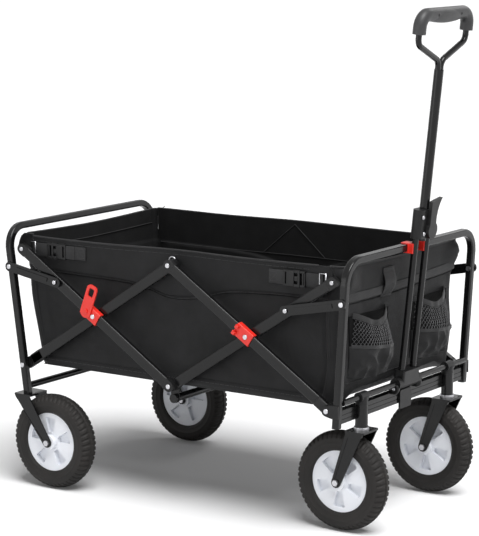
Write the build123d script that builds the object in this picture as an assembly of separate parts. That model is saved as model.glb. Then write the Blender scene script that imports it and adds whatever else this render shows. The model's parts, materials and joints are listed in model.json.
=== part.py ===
"""Folding wagon with a pull handle: fabric tub in a scissor frame, fixed rear wheels, front casters.

Millimetres, +Z up, +X towards the handle end. The model is drawn about the middle of the scissor
linkage and moved at the end so that the origin lies under the middle of its box, on the floor.
"""
from build123d import *
import os
from math import atan2, cos, degrees, hypot, radians, sin

# Wheels
WHEEL_R = 100.0
TYRE_W = 46.0
BEAD_W = 34.0
RIM_R = 61.6
SHOULDER_DROP = 7.0
SHOULDER_INSET = 3.5
BULGE_DROP = 2.0
HUB_W = 30.0
HUB_BOSS_R = 16.0
HUB_POCKETS = 5
HUB_POCKET_INNER_R = 20.5
HUB_POCKET_RIM = 9.5
HUB_POCKET_ANGLE = 30.0
HUB_POCKET_ROUND = 2.5
HUB_POCKET_DEPTH = 9.0
FRONT_HUB_TURN = 36.0
AXLE_R = 4.0
AXLE_HEAD_R = 6.5
AXLE_HEAD_T = 4.0
RUNNING_PLAY = 0.05

# Wheel places
REAR_AXLE_X = 303.0
REAR_AXLE_INSET = 9.0
STEM_X = 402.0
CASTER_INSET = 79.0
CASTER_TRAIL = 40.0

# Forks
FORK_SIDE_GAP = 3.0
FORK_T = 3.0
FORK_PLATE_T = 4.0
FORK_END_R = 10.0
FORK_TOP_W = 37.0
FORK_TOP_BAND = 2.0
FORK_PLATE_LIP = 3.5
FORK_BOLT_PAD = 1.0
FORK_PANEL_INSET = 5.0
FORK_PANEL_DEPTH = 0.9
WHEEL_TOP_GAP = 3.0
REAR_PLATE_DROP = 7.0
BOSS_END_PLAY = 0.4

# Caster posts
KINGPIN_R = 8.0
KINGPIN_TOP_INSET = 2.0
SLEEVE_R = 12.5
SLEEVE_H = 44.0
RING_R = 15.0
RING_H = 6.0
RING_PLAY = 0.3

# Frame hoops
TRACK_HALF = 250.0
TUBE = 15.0
TUBE_ROUND = 3.5
TUBE_WALL = 1.5
TUBE_BEND = 45.0
HOOP_OVERRUN = 50.0
TOP_ABOVE_WHEELS = 346.0
REAR_TOP_DROP = 3.0
FRONT_TOP_X = 413.0
REAR_TOP_X = 416.0
FRONT_FOOT_ABOVE_WHEELS = 23.0
REAR_ROD_R = 7.0
REAR_ROD_RISE = 14.0

# Front cross members
FRONT_ROD_R = 6.0
FRONT_ROD_RISE = 15.0
CHANNEL_H = 26.0
CHANNEL_D = 16.0
CHANNEL_WALL = 2.0
CHANNEL_GROOVE = 2.0
CHANNEL_TOP_DROP = 1.0
CHANNEL_FRONT_INSET = 4.0
CLAMP_R = 10.0
CLAMP_HALF = 13.0

# Side linkage
PIVOT_X = 376.0
PIVOT_ABOVE_WHEELS = 56.0
LINKAGE_H = 246.0
BAR_W = 22.0
BAR_T = 11.5
BAR_ROUND = 3.0
BAR_WALL = 1.2
BAR_HEAD = 13.0
BAR_TONGUE = 24.0
TONGUE_PLAY = 0.15
LEG_PLAY = 0.4
LAYER_GAP = 0.6
LEG_CLEAR = 1.3
PIN_R = 3.0
OPEN_PIN_PLAY = 0.3
HEAD_R = 5.0
HEAD_T = 2.0
HEAD_ROUND = 1.2
HEAD_PLAY = 0.2

# Corner struts
STRUT_REACH = 114.0
STRUT_DROP = 80.0
STRUT_W = 20.0
STRUT_T = 3.0
STRUT_RIB_W = 8.0
STRUT_RIB_T = 1.5
STRUT_TAIL = 3.0
OPEN_END_GAP = 0.5
SLIDE_PLAY = 0.3

# Front pivot brackets
BRACKET_T = 2.5
BRACKET_R = 10.0
BRACKET_BOSS_R = 8.0
BRACKET_H = 26.0

# Red latches
SADDLE_T = 2.5
SADDLE_ROUND = 2.0
REAR_SADDLE_UP = 32.0
FRONT_SADDLE_UP = 28.0
SADDLE_DOWN = 14.0
TAB_OFFSET = 19.0
TAB_LENGTH = 58.0
TAB_TAIL = 14.0
TAB_W = 26.0
TAB_T = 3.0
TAB_LEAN = 12.7
TAB_ROUND = 9.0
TAB_HOLE_W = 13.0
TAB_HOLE_H = 18.0
TAB_HOLE_ROUND = 3.0
TAB_HOLE_RIM = 7.0
LUG = 7.0

# Bottom centre hub
HUB_DROP = 28.0
HUB_PLATE_T = 1.9
HUB_PLATE_R = 10.0
CROSS_TUBE_R = 8.0
CROSS_TUBE_WALL = 1.2
CROSS_CAP_R = 9.0
CROSS_CAP_T = 7.0

# Fabric tub
WALL_T = 3.0
WALL_SIDE_GAP = 0.4
WALL_SEAM_GAP = 0.3
TUB_REAR_TOP_X = 385.0
TUB_REAR_BOTTOM_X = 350.0
TUB_FRONT_TOP_X = 396.0
TUB_FRONT_BOTTOM_X = 374.0
TUB_FRONT_RISE = 20.0
TUB_RIM_DROP = 13.0
TUB_FLOOR_RISE = 6.0
BOARD_T = 3.0
BOARD_LIFT = 2.5
BOARD_REACH = 328.0
BOARD_SIDE_GAP = 0.4
BOARD_MIDDLE_GAP = 16.0
POCKET_Y = 117.0
POCKET_W = 158.0
POCKET_BOTTOM_RISE = 40.0
POCKET_H = 128.0
POCKET_OUT = 30.0
POCKET_BASE_SHARE = 0.5
POCKET_TOP_SHARE = 0.7
POCKET_BELLY_SHARE = 0.4
POCKET_WALL = 2.0

# Pull handle, sizes along its own axis from the hinge
HANDLE_LEAN = 5.9
FOOT_R = 12.0
FOOT_ROUND = 4.0
FOOT_HALF = 43.0
FOOT_TOP = 26.0
FOOT_BLOCK_HALF = 31.0
TUBE_SPREAD = 22.0
LOWER_TUBE_R = 6.5
LOWER_TUBE_WALL = 1.2
COLLAR_BOTTOM = 294.0
COLLAR_H = 58.0
COLLAR_HALF = 30.0
COLLAR_DEPTH = 24.0
COLLAR_ROUND = 11.0
COLLAR_SOCKET = 14.0
UPPER_TUBE_R = 9.5
UPPER_TUBE_WALL = 1.5
UPPER_TUBE_TAIL = 6.0
UPPER_TUBE_TOP = 626.0
YOKE_R = 6.0
YOKE_NECK = 8.0
YOKE_JOIN = 1.0
YOKE_RISE = 44.0
YOKE_END = 73.0
YOKE_BEND = 18.0
GRIP_HALF = 93.0
GRIP_R = 13.0
GRIP_SLEEVE = 12.0
GRIP_BEND = 24.0
GRIP_BELLY_HALF = 62.0
GRIP_BELLY_R = 15.2
GRIP_BELLY_END_R = 9.5
GRIP_BELLY_DROP = 2.5
LEVER_Y = 8.0
LEVER_RISE = 16.0
LEVER_R = 17.0
LEVER_T = 8.0
LEVER_REACH = 64.0
LEVER_ARM_HALF = 13.0
LEVER_TIP = 26.0
LEVER_TIP_DROP = 6.0
LEVER_WAIST_SHARE = 0.55
LEVER_WAIST = 11.0
LEVER_PIN_R = 4.0
LEVER_GAP = 0.4

# Handle bracket and clip
PLATE_W = 44.0
PLATE_T = 4.0
PLATE_H = 38.0
CLIP_HALF = 34.0
CLIP_WALL = 2.2
CLIP_FINGER = 3.6
CLIP_REACH = 9.0
CLIP_PLAY = 0.5

# Heights and layers that follow from the sizes above
wheel_top = 2 * WHEEL_R
top_z = wheel_top + TOP_ABOVE_WHEELS
rear_top_z = top_z - REAR_TOP_DROP
pivot_z = wheel_top + PIVOT_ABOVE_WHEELS
upper_z = pivot_z + LINKAGE_H
tub_floor_z = pivot_z + TUB_FLOOR_RISE
tub_rim_z = top_z - TUB_RIM_DROP
leg_in = TRACK_HALF - TUBE / 2
leg_out = TRACK_HALF + TUBE / 2
inner_layer = (leg_in - LEG_PLAY - BAR_T, leg_in - LEG_PLAY)
outer_layer = (inner_layer[1] + LAYER_GAP, inner_layer[1] + LAYER_GAP + BAR_T)
inner_head = inner_layer[0] - HEAD_PLAY
wall_out = inner_head - HEAD_T - WALL_SIDE_GAP
wall_in = wall_out - WALL_T
strut_layer = (leg_out + SLIDE_PLAY, leg_out + SLIDE_PLAY + STRUT_T)
rear_axle_y = TRACK_HALF - REAR_AXLE_INSET
stem_y = TRACK_HALF - CASTER_INSET
fork_half = TYRE_W / 2 + FORK_SIDE_GAP
rear_plate_top = wheel_top - REAR_PLATE_DROP + FORK_PLATE_T
caster_plate_top = wheel_top + WHEEL_TOP_GAP + FORK_PLATE_T
sleeve_bottom = caster_plate_top + RING_H
sleeve_top = sleeve_bottom + SLEEVE_H
front_rod_z = sleeve_top + FRONT_ROD_RISE

# Pivots in the side view
rear_low = (-PIVOT_X, pivot_z)
rear_high = (-PIVOT_X, upper_z)
top_mid = (0.0, upper_z)
low_mid = (0.0, pivot_z)
front_low = (PIVOT_X, pivot_z)
front_high = (PIVOT_X, upper_z)
bar_length = hypot(PIVOT_X, LINKAGE_H)
rear_cross = (-PIVOT_X / 2, pivot_z + LINKAGE_H / 2)
front_cross = (PIVOT_X / 2, pivot_z + LINKAGE_H / 2)
strut_dx = STRUT_REACH * PIVOT_X / bar_length
strut_dz = STRUT_REACH * LINKAGE_H / bar_length
rear_strut_bar = (rear_cross[0] - strut_dx, rear_cross[1] + strut_dz)
front_strut_bar = (front_cross[0] + strut_dx, front_cross[1] + strut_dz)


def rear_leg_x(z):
    """Middle of the rear legs, which pass through the lower pivots."""
    slope = (REAR_TOP_X - PIVOT_X) / (rear_top_z - pivot_z)
    return -REAR_TOP_X + (rear_top_z - z) * slope


def front_leg_x(z):
    """Middle of the front legs, which stand just ahead of the bar ends."""
    at_pivot = PIVOT_X + BAR_W / 2 + TUBE / 2 + LEG_CLEAR
    slope = (FRONT_TOP_X - at_pivot) / (top_z - pivot_z)
    return FRONT_TOP_X - (top_z - z) * slope


rear_strut_leg = (rear_leg_x(rear_top_z - STRUT_DROP), rear_top_z - STRUT_DROP)
front_strut_leg = (front_leg_x(top_z - STRUT_DROP), top_z - STRUT_DROP)


def block(x, y, z):
    """Box between a low and a high limit along each axis."""
    limits = (x, y, z)
    sizes = [high - low for low, high in limits]
    middles = [(high + low) / 2 for low, high in limits]
    return Pos(*middles) * Box(*sizes)


def bar_y(radius, point, y):
    """Round bar along Y at a side view point, between two y limits."""
    return Pos(point[0], (y[0] + y[1]) / 2, point[1]) * Rot(90, 0, 0) * Cylinder(radius, y[1] - y[0])


def pair(shape):
    """The left piece and its mirror image on the right."""
    return [shape, mirror(shape, about=Plane.XZ)]


def along(start, end):
    """Place whose X axis runs from one side view point to another."""
    angle = degrees(atan2(end[1] - start[1], end[0] - start[0]))
    return Pos(start[0], 0, start[1]) * Rot(0, -angle, 0)


def side_plate(outline, y):
    """Plate of a side view outline, drawn in X and Z, between two y limits."""
    face = Plane.XZ.offset(-y[0]) * outline
    return extrude(face, amount=y[1] - y[0], dir=(0, 1, 0))


def rivet(point, y):
    """Rivet with a head outside each of two y limits."""
    low_head = bar_y(HEAD_R, point, (y[0] - HEAD_T, y[0]))
    high_head = bar_y(HEAD_R, point, (y[1], y[1] + HEAD_T))
    high_head = fillet(high_head.edges().sort_by(Axis.Y)[-1], HEAD_ROUND)
    return low_head + bar_y(PIN_R, point, y) + high_head


def pin_hole(point, play=RUNNING_PLAY):
    """Cutter for a rivet shank on the left side."""
    return bar_y(PIN_R + play, point, (0, 2 * TRACK_HALF))


def tilted_hoop(top, leg_x, foot_z):
    """Bent tube hoop from foot to foot, cut level at the feet."""
    overrun = foot_z - HOOP_OVERRUN
    points = []
    for side in (-1, 1):
        ends = [(leg_x(overrun), side * TRACK_HALF, overrun), (top[0], side * TRACK_HALF, top[1])]
        points += ends if side < 0 else ends[::-1]
    path = FilletPolyline(*points, radius=TUBE_BEND)
    rise = Vector(*points[1]) - Vector(*points[0])
    section = Plane(origin=points[0], x_dir=(0, 1, 0), z_dir=rise)
    outer = sweep(section * RectangleRounded(TUBE, TUBE, TUBE_ROUND), path=path)
    bore = TUBE - 2 * TUBE_WALL
    inner = sweep(section * RectangleRounded(bore, bore, TUBE_ROUND - TUBE_WALL), path=path)
    x_far = 2 * abs(top[0])
    below = block((-x_far, x_far), (-2 * TRACK_HALF, 2 * TRACK_HALF), (overrun - TUBE, foot_z))
    return outer - inner - below


def both(cutter):
    """A cutter for the left and the right at once."""
    return cutter + mirror(cutter, about=Plane.XZ)


def flat_tube(layer, holes):
    """Flat side bar without its end fittings, along X, with pin holes at given places."""
    y_mid = (layer[0] + layer[1]) / 2
    start = Plane.YZ.offset(BAR_HEAD)
    length = bar_length - 2 * BAR_HEAD
    outer = extrude(start * Pos(y_mid, 0) * RectangleRounded(BAR_T, BAR_W, BAR_ROUND), amount=length)
    bore = (BAR_T - 2 * BAR_WALL, BAR_W - 2 * BAR_WALL)
    inner = extrude(start * Pos(y_mid, 0) * RectangleRounded(*bore, BAR_ROUND - BAR_WALL), amount=length)
    tube = outer - inner
    for place in holes:
        tube -= pin_hole((place, 0))
    return tube


def bar_end(layer, play=RUNNING_PLAY):
    """End fitting of a side bar: rounded head round its pin, tongue inside the tube."""
    head = bar_y(BAR_W / 2, (0, 0), layer)
    head += block((0, BAR_HEAD), layer, (-BAR_W / 2, BAR_W / 2))
    inset = BAR_WALL + TONGUE_PLAY
    tongue_y = (layer[0] + inset, layer[1] - inset)
    tongue_z = BAR_W / 2 - inset
    tongue = block((BAR_HEAD, BAR_HEAD + BAR_TONGUE), tongue_y, (-tongue_z, tongue_z))
    tongue = fillet(tongue.edges().filter_by(Axis.X), BAR_ROUND - BAR_WALL)
    return head + tongue - pin_hole((0, 0), play)


def side_bars(start, end, layer, holes=(), start_play=RUNNING_PLAY, end_play=RUNNING_PLAY):
    """Left and right bars between two pivots, and their end fittings."""
    place = along(start, end)
    tubes = pair(place * flat_tube(layer, (bar_length / 2, *holes)))
    first = place * bar_end(layer, start_play)
    last = place * Pos(bar_length, 0, 0) * Rot(0, 180, 0) * bar_end(layer, end_play)
    return tubes, pair(first) + pair(last)


def saddle(up, down):
    """Red saddle over the outer bar at its crossing, in the bar's own X direction."""
    middle = bar_length / 2
    reach = (middle - up, middle + down)
    top = (outer_layer[1], outer_layer[1] + SADDLE_T)
    half = BAR_W / 2
    shell = block(reach, (outer_layer[0] + HEAD_T, top[1]), (-half - SADDLE_T, half + SADDLE_T))
    shell -= block((0, bar_length), (0, outer_layer[1]), (-half, half))
    shell = fillet(shell.edges().filter_by(Axis.X).group_by(Axis.Y)[-1], SADDLE_ROUND)
    shell -= pin_hole((middle, 0))
    return shell


def fork(axle, plate_x, plate_top, y_mid):
    """Stamped wheel fork: top plate and two tapering cheeks with a pressed panel."""
    cheek_out = fork_half + FORK_T
    plate_z = (plate_top - FORK_PLATE_T, plate_top)
    plate_reach = (plate_x - FORK_TOP_W / 2 - FORK_PLATE_LIP, plate_x + FORK_TOP_W / 2 + FORK_PLATE_LIP)
    plate = block(plate_reach, (y_mid - cheek_out, y_mid + cheek_out), plate_z)
    plate = fillet(plate.edges().filter_by(Axis.Z), FORK_PLATE_LIP)
    outline = make_hull((
        Pos(*axle) * Circle(FORK_END_R)
        + Pos(plate_x, plate_z[0] - FORK_TOP_BAND / 2) * Rectangle(FORK_TOP_W, FORK_TOP_BAND)
    ).edges())
    panel_top = plate_z[0] - 2 * FORK_PANEL_INSET
    panel = make_hull((
        Pos(*axle) * Circle(FORK_END_R - FORK_PANEL_INSET)
        + Pos(plate_x, panel_top) * Rectangle(FORK_TOP_W - 2 * FORK_PANEL_INSET, FORK_TOP_BAND)
    ).edges())
    shape = plate
    for side in (-1, 1):
        faces = sorted((y_mid + side * fork_half, y_mid + side * cheek_out))
        shape += side_plate(outline, faces)
        skin = sorted((y_mid + side * (cheek_out - FORK_PANEL_DEPTH), y_mid + side * cheek_out))
        pressed = side_plate(panel, skin) - bar_y(AXLE_HEAD_R + FORK_BOLT_PAD, axle, skin)
        shape -= pressed
    return shape - bar_y(AXLE_R, axle, (y_mid - cheek_out, y_mid + cheek_out))


def axle_bolt(axle, y_mid):
    """Axle bolt through both fork cheeks, hexagon head and nut outside."""
    half = fork_half + FORK_T
    shank = bar_y(AXLE_R, axle, (y_mid - half, y_mid + half))
    heads = []
    for side in (-1, 1):
        hexagon = Pos(*axle) * RegularPolygon(AXLE_HEAD_R, 6)
        heads.append(side_plate(hexagon, sorted((y_mid + side * half, y_mid + side * (half + AXLE_HEAD_T)))))
    return shank + heads[0] + heads[1]


def tyre():
    """Tyre about the Y axis at the origin."""
    half = TYRE_W / 2
    bead = (RIM_R, BEAD_W / 2)
    bulge = ((RIM_R + WHEEL_R) / 2 - BULGE_DROP, half)
    shoulder = (WHEEL_R - SHOULDER_DROP, half - SHOULDER_INSET)
    outline = (
        Line((bead[0], -bead[1]), bead)
        + ThreePointArc(bead, bulge, shoulder)
        + ThreePointArc(shoulder, (WHEEL_R, 0), (shoulder[0], -shoulder[1]))
        + ThreePointArc((shoulder[0], -shoulder[1]), (bulge[0], -bulge[1]), (bead[0], -bead[1]))
    )
    return revolve(make_face(outline), Axis.Y)


def hub():
    """Plastic hub about the Y axis at the origin, with wedge pockets in both faces."""
    disc = bar_y(RIM_R, (0, 0), (-HUB_W / 2, HUB_W / 2))
    boss_half = fork_half - BOSS_END_PLAY
    disc += bar_y(HUB_BOSS_R, (0, 0), (-boss_half, boss_half))
    reach = 2 * RIM_R
    half_angle = radians(HUB_POCKET_ANGLE / 2)
    corner = (reach * cos(half_angle), reach * sin(half_angle))
    sector = make_face(Polyline((0, 0), corner, (corner[0], -corner[1]), close=True))
    wedge = (Circle(RIM_R - HUB_POCKET_RIM) - Circle(HUB_POCKET_INNER_R)) & sector
    wedge = fillet(wedge.vertices(), HUB_POCKET_ROUND)
    for side in (-1, 1):
        depth = sorted((side * (HUB_W / 2 - HUB_POCKET_DEPTH), side * HUB_W / 2))
        for index in range(HUB_POCKETS):
            disc -= side_plate(Rot(0, 0, 90 + 360 / HUB_POCKETS * index) * wedge, depth)
    return disc - bar_y(AXLE_R + RUNNING_PLAY, (0, 0), (-boss_half, boss_half))


def end_wall(direction, bottom, top, rise):
    """Fabric end wall of the tub, leaning outward to the rim, its lower edge above the floor by a rise."""
    low_x = bottom + (top - bottom) * rise / (tub_rim_z - tub_floor_z)
    points = [(low_x, tub_floor_z + rise), (top, tub_rim_z)]
    points += [(top - WALL_T, tub_rim_z), (low_x - WALL_T, tub_floor_z + rise)]
    outline = make_face(Polyline(*[(direction * x, z) for x, z in points], close=True))
    half = wall_in - WALL_SEAM_GAP
    return side_plate(outline, (-half, half))


def side_wall():
    """Left fabric side wall of the tub."""
    points = [(-TUB_REAR_BOTTOM_X, tub_floor_z), (TUB_FRONT_BOTTOM_X, tub_floor_z)]
    points += [(TUB_FRONT_TOP_X, tub_rim_z), (-TUB_REAR_TOP_X, tub_rim_z)]
    return side_plate(make_face(Polyline(*points, close=True)), (wall_in, wall_out))


def front_wall_x(z):
    """Outer face of the front fabric wall."""
    share = (z - tub_floor_z) / (tub_rim_z - tub_floor_z)
    return TUB_FRONT_BOTTOM_X + share * (TUB_FRONT_TOP_X - TUB_FRONT_BOTTOM_X)


def pocket(y_mid):
    """Open-topped pouch on the front wall."""
    low = tub_floor_z + POCKET_BOTTOM_RISE
    high = low + POCKET_H
    belly = low + POCKET_H * POCKET_BELLY_SHARE
    y = (y_mid - POCKET_W / 2, y_mid + POCKET_W / 2)

    def pouch(inset, top, y_limits):
        back_low = front_wall_x(low + inset) + inset
        back_high = front_wall_x(top) + inset
        front_low = back_low + POCKET_OUT * POCKET_BASE_SHARE - 2 * inset
        front_mid = front_wall_x(belly) + POCKET_OUT - inset
        front_high = front_wall_x(high) + POCKET_OUT * POCKET_TOP_SHARE - inset
        outline = (
            Line((back_high, top), (back_low, low + inset))
            + Line((back_low, low + inset), (front_low, low + inset))
            + ThreePointArc((front_low, low + inset), (front_mid, belly), (front_high, high))
        )
        if top > high:
            outline += Line((front_high, high), (front_high, top))
        outline += Line((front_high, top), (back_high, top))
        return side_plate(make_face(outline), y_limits)

    inside = (y[0] + POCKET_WALL, y[1] - POCKET_WALL)
    return pouch(0, high, y) - pouch(POCKET_WALL, high + 2 * POCKET_WALL, inside)


def floor_board(direction):
    """Stiff floor board of one half of the tub."""
    x = sorted((direction * BOARD_MIDDLE_GAP / 2, direction * BOARD_REACH))
    half = wall_in - BOARD_SIDE_GAP
    z = tub_floor_z + BOARD_LIFT
    return block(x, (-half, half), (z, z + BOARD_T))


def strut(leg, on_bar, bar_face):
    """Corner strut from the leg to the bar, with the rivet at its bar end."""
    length = hypot(on_bar[0] - leg[0], on_bar[1] - leg[1])
    end_r = STRUT_W / 2
    outline = make_hull((Circle(end_r) + Pos(length + STRUT_TAIL, 0) * Circle(end_r)).edges())
    plate = side_plate(outline, strut_layer)
    rib_y = (strut_layer[1], strut_layer[1] + STRUT_RIB_T)
    plate += block((STRUT_W, length - STRUT_W), rib_y, (-STRUT_RIB_W / 2, STRUT_RIB_W / 2))
    plate -= pin_hole((0, 0))
    plate += bar_y(PIN_R, (length, 0), (bar_face + OPEN_END_GAP, strut_layer[1]))
    plate += bar_y(HEAD_R, (length, 0), (strut_layer[1], strut_layer[1] + HEAD_T))
    return along(leg, on_bar) * plate


def latch_tab():
    """Swinging red tab with a window, on the rear saddle."""
    low = outer_layer[1] + SADDLE_T + SLIDE_PLAY
    y = (low, low + TAB_T)
    middle = bar_length / 2 - TAB_OFFSET
    body = make_hull((
        Pos(0, -TAB_TAIL + TAB_W / 2) * Circle(TAB_W / 2)
        + Pos(0, TAB_LENGTH - TAB_W / 2) * RectangleRounded(TAB_W, TAB_W, TAB_ROUND)
    ).edges())
    window = RectangleRounded(TAB_HOLE_W, TAB_HOLE_H, TAB_HOLE_ROUND)
    body -= Pos(0, TAB_LENGTH - TAB_HOLE_RIM - TAB_HOLE_H / 2) * window
    body = Pos(middle, 0) * Rot(0, 0, TAB_LEAN) * body
    return along(rear_high, low_mid) * (side_plate(body, y) - pin_hole((middle, 0)))


def tab_pivot():
    """Stud on the rear saddle that the tab swings on."""
    base = outer_layer[1] + SADDLE_T
    far = base + SLIDE_PLAY + TAB_T + HEAD_PLAY
    point = (bar_length / 2 - TAB_OFFSET, 0)
    return bar_y(PIN_R, point, (base, far)) + bar_y(HEAD_R, point, (far, far + HEAD_T))


def front_lugs():
    """Hook lugs at the upper end of the front saddle."""
    start = bar_length / 2 - FRONT_SADDLE_UP
    base = outer_layer[1] + SADDLE_T
    lugs = block((start, start + LUG), (base, base + LUG), (-BAR_W / 2, -BAR_W / 2 + LUG))
    return lugs + block((start, start + LUG), (base, base + LUG), (BAR_W / 2 - LUG, BAR_W / 2))


def hub_plate():
    """Left plate from the bottom pivot down to the cross tube, with the tube's end cap."""
    y = (inner_layer[0] - HUB_PLATE_T - SLIDE_PLAY, inner_layer[0] - SLIDE_PLAY)
    tube_at = (low_mid[0], low_mid[1] - HUB_DROP)
    outline = make_hull((
        Pos(*low_mid) * Circle(HUB_PLATE_R) + Pos(*tube_at) * Circle(HUB_PLATE_R)
    ).edges())
    plate = side_plate(outline, y) - pin_hole(low_mid)
    return plate + bar_y(CROSS_CAP_R, tube_at, (y[1], y[1] + CROSS_CAP_T))


def bracket():
    """Left plastic bracket on the front leg that carries the lower front pivot."""
    y = (leg_out, leg_out + BRACKET_T)
    leg_at = (front_leg_x(pivot_z), pivot_z)
    outline = make_hull((
        Pos(*front_low) * Circle(BRACKET_R) + Pos(*leg_at) * Rectangle(TUBE, BRACKET_H)
    ).edges())
    ear = side_plate(outline, y)
    ear += bar_y(BRACKET_BOSS_R, front_low, (outer_layer[1] + SLIDE_PLAY, leg_out))
    return ear - pin_hole(front_low, 0)


def handle_place():
    """Place of the handle's own axis, leaning forward from its hinge."""
    return Pos(STEM_X, 0, front_rod_z) * Rot(0, HANDLE_LEAN, 0)


def handle_foot():
    """Hinge barrel round the front rod, and the block that takes both lower tubes."""
    foot = bar_y(FOOT_R, (0, 0), (-FOOT_HALF, FOOT_HALF))
    body = block((-FOOT_R, FOOT_R), (-FOOT_BLOCK_HALF, FOOT_BLOCK_HALF), (0, FOOT_TOP))
    foot += fillet(body.edges().filter_by(Axis.Z), FOOT_ROUND)
    return foot - bar_y(FRONT_ROD_R + RUNNING_PLAY, (0, 0), (-FOOT_HALF, FOOT_HALF))


def round_tube(radius, wall, y, z):
    """Round tube along the handle's axis between two limits."""
    middle = Pos(0, y, (z[0] + z[1]) / 2)
    return middle * (Cylinder(radius, z[1] - z[0]) - Cylinder(radius - wall, z[1] - z[0]))


def handle_collar():
    """Clamp collar with sockets for the lower tubes, a bore for the upper one and the lever pin."""
    z = (COLLAR_BOTTOM, COLLAR_BOTTOM + COLLAR_H)
    body = block((-COLLAR_DEPTH / 2, COLLAR_DEPTH / 2), (-COLLAR_HALF, COLLAR_HALF), z)
    body = fillet(body.edges().filter_by(Axis.Z), COLLAR_ROUND)
    for side in (-1, 1):
        socket_mid = COLLAR_BOTTOM + COLLAR_SOCKET / 2
        body -= Pos(0, side * TUBE_SPREAD, socket_mid) * Cylinder(LOWER_TUBE_R, COLLAR_SOCKET)
    body -= Pos(0, 0, (z[0] + z[1]) / 2) * Cylinder(UPPER_TUBE_R + RUNNING_PLAY, COLLAR_H)
    pin_x = (COLLAR_DEPTH / 2, COLLAR_DEPTH / 2 + LEVER_GAP + LEVER_T)
    pin = Rot(0, 90, 0) * Cylinder(LEVER_PIN_R, pin_x[1] - pin_x[0])
    return body + Pos((pin_x[0] + pin_x[1]) / 2, LEVER_Y, COLLAR_BOTTOM + LEVER_RISE) * pin


def clamp_lever():
    """Lever on the collar's front face: round hub and an arm that flares to its tip."""
    front = COLLAR_DEPTH / 2 + LEVER_GAP
    base = (LEVER_ARM_HALF, 0)
    tip = (LEVER_TIP, LEVER_REACH)
    heel = (-LEVER_ARM_HALF, LEVER_REACH - LEVER_TIP_DROP)
    arm = make_face(
        Line((-LEVER_ARM_HALF, 0), heel)
        + Line(heel, tip)
        + ThreePointArc(tip, (LEVER_WAIST, LEVER_REACH * LEVER_WAIST_SHARE), base)
        + Line(base, (-LEVER_ARM_HALF, 0))
    )
    outline = Circle(LEVER_R) + arm - Circle(LEVER_PIN_R + RUNNING_PLAY)
    face = Plane.YZ.offset(front) * outline
    lever = extrude(face, amount=LEVER_T)
    return Pos(0, LEVER_Y, COLLAR_BOTTOM + LEVER_RISE) * lever


def swept_rod(points, radius, bends):
    """Round rod along straight runs joined by arcs."""
    path = FilletPolyline(*points, radius=bends)
    section = Plane(origin=points[0], z_dir=path % 0)
    return sweep(section * Circle(radius), path=path)


def yoke_arm():
    """Left arm of the yoke: out of the upper tube, outward, then up into the grip."""
    neck_y = YOKE_R - YOKE_JOIN
    points = [(0, neck_y, UPPER_TUBE_TOP), (0, neck_y, UPPER_TUBE_TOP + YOKE_NECK + YOKE_BEND / 2)]
    points += [(0, GRIP_HALF, UPPER_TUBE_TOP + YOKE_RISE + YOKE_BEND / 2)]
    points += [(0, GRIP_HALF, UPPER_TUBE_TOP + YOKE_END)]
    return swept_rod(points, YOKE_R, YOKE_BEND)


def handle_grip():
    """Moulded grip: a bar across the top, fuller in the middle, its ends turned down over the yoke."""
    low = UPPER_TUBE_TOP + YOKE_END
    bar_z = low + GRIP_SLEEVE + GRIP_BEND
    points = [(0, -GRIP_HALF, low), (0, -GRIP_HALF, bar_z), (0, GRIP_HALF, bar_z), (0, GRIP_HALF, low)]
    ends = [(GRIP_BELLY_END_R, -GRIP_BELLY_HALF), (GRIP_BELLY_END_R, GRIP_BELLY_HALF)]
    profile = ThreePointArc(ends[0], (GRIP_BELLY_R, 0), ends[1])
    profile += Polyline(ends[1], (0, GRIP_BELLY_HALF), (0, -GRIP_BELLY_HALF), ends[0])
    belly = Pos(0, 0, bar_z - GRIP_BELLY_DROP) * revolve(make_face(profile), Axis.Y)
    return swept_rod(points, GRIP_R, GRIP_BEND) + belly


def front_channel():
    """Ribbed channel between the front legs, notched round both caster sleeves."""
    x_back = STEM_X - CHANNEL_FRONT_INSET - CHANNEL_D
    x = (x_back, x_back + CHANNEL_D)
    top = sleeve_top - CHANNEL_TOP_DROP
    z = (top - CHANNEL_H, top)
    bar = block(x, (-leg_in, leg_in), z)
    bar -= block((x[0] + CHANNEL_WALL, x[1] - CHANNEL_WALL), (-leg_in, leg_in), (z[0], z[1] - CHANNEL_WALL))
    for share in (1 / 3, 2 / 3):
        z_mid = z[0] + CHANNEL_H * share
        groove = (z_mid - CHANNEL_GROOVE / 2, z_mid + CHANNEL_GROOVE / 2)
        bar -= block((x[1] - CHANNEL_WALL / 2, x[1]), (-leg_in, leg_in), groove)
    for side in (-1, 1):
        bar -= Pos(STEM_X, side * stem_y, (z[0] + z[1]) / 2) * Cylinder(SLEEVE_R, CHANNEL_H)
    return bar


def rod_clamp():
    """Left plastic clamp on top of a caster sleeve, round the front rod."""
    y = (stem_y - CLAMP_HALF, stem_y + CLAMP_HALF)
    point = (STEM_X, front_rod_z)
    clamp = bar_y(CLAMP_R, point, y)
    post_h = front_rod_z - sleeve_top
    clamp += Pos(STEM_X, stem_y, sleeve_top + post_h / 2) * Cylinder(SLEEVE_R, post_h)
    return clamp - bar_y(FRONT_ROD_R, point, y)


def handle_plate():
    """Plate bracket on the front of the channel, below the handle foot."""
    x = STEM_X - CHANNEL_FRONT_INSET
    top = front_rod_z - FOOT_R - PLATE_T
    plate = block((x, x + PLATE_T), (-PLATE_W / 2, PLATE_W / 2), (top - PLATE_H, top))
    return fillet(plate.edges().filter_by(Axis.X), PLATE_T)


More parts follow.
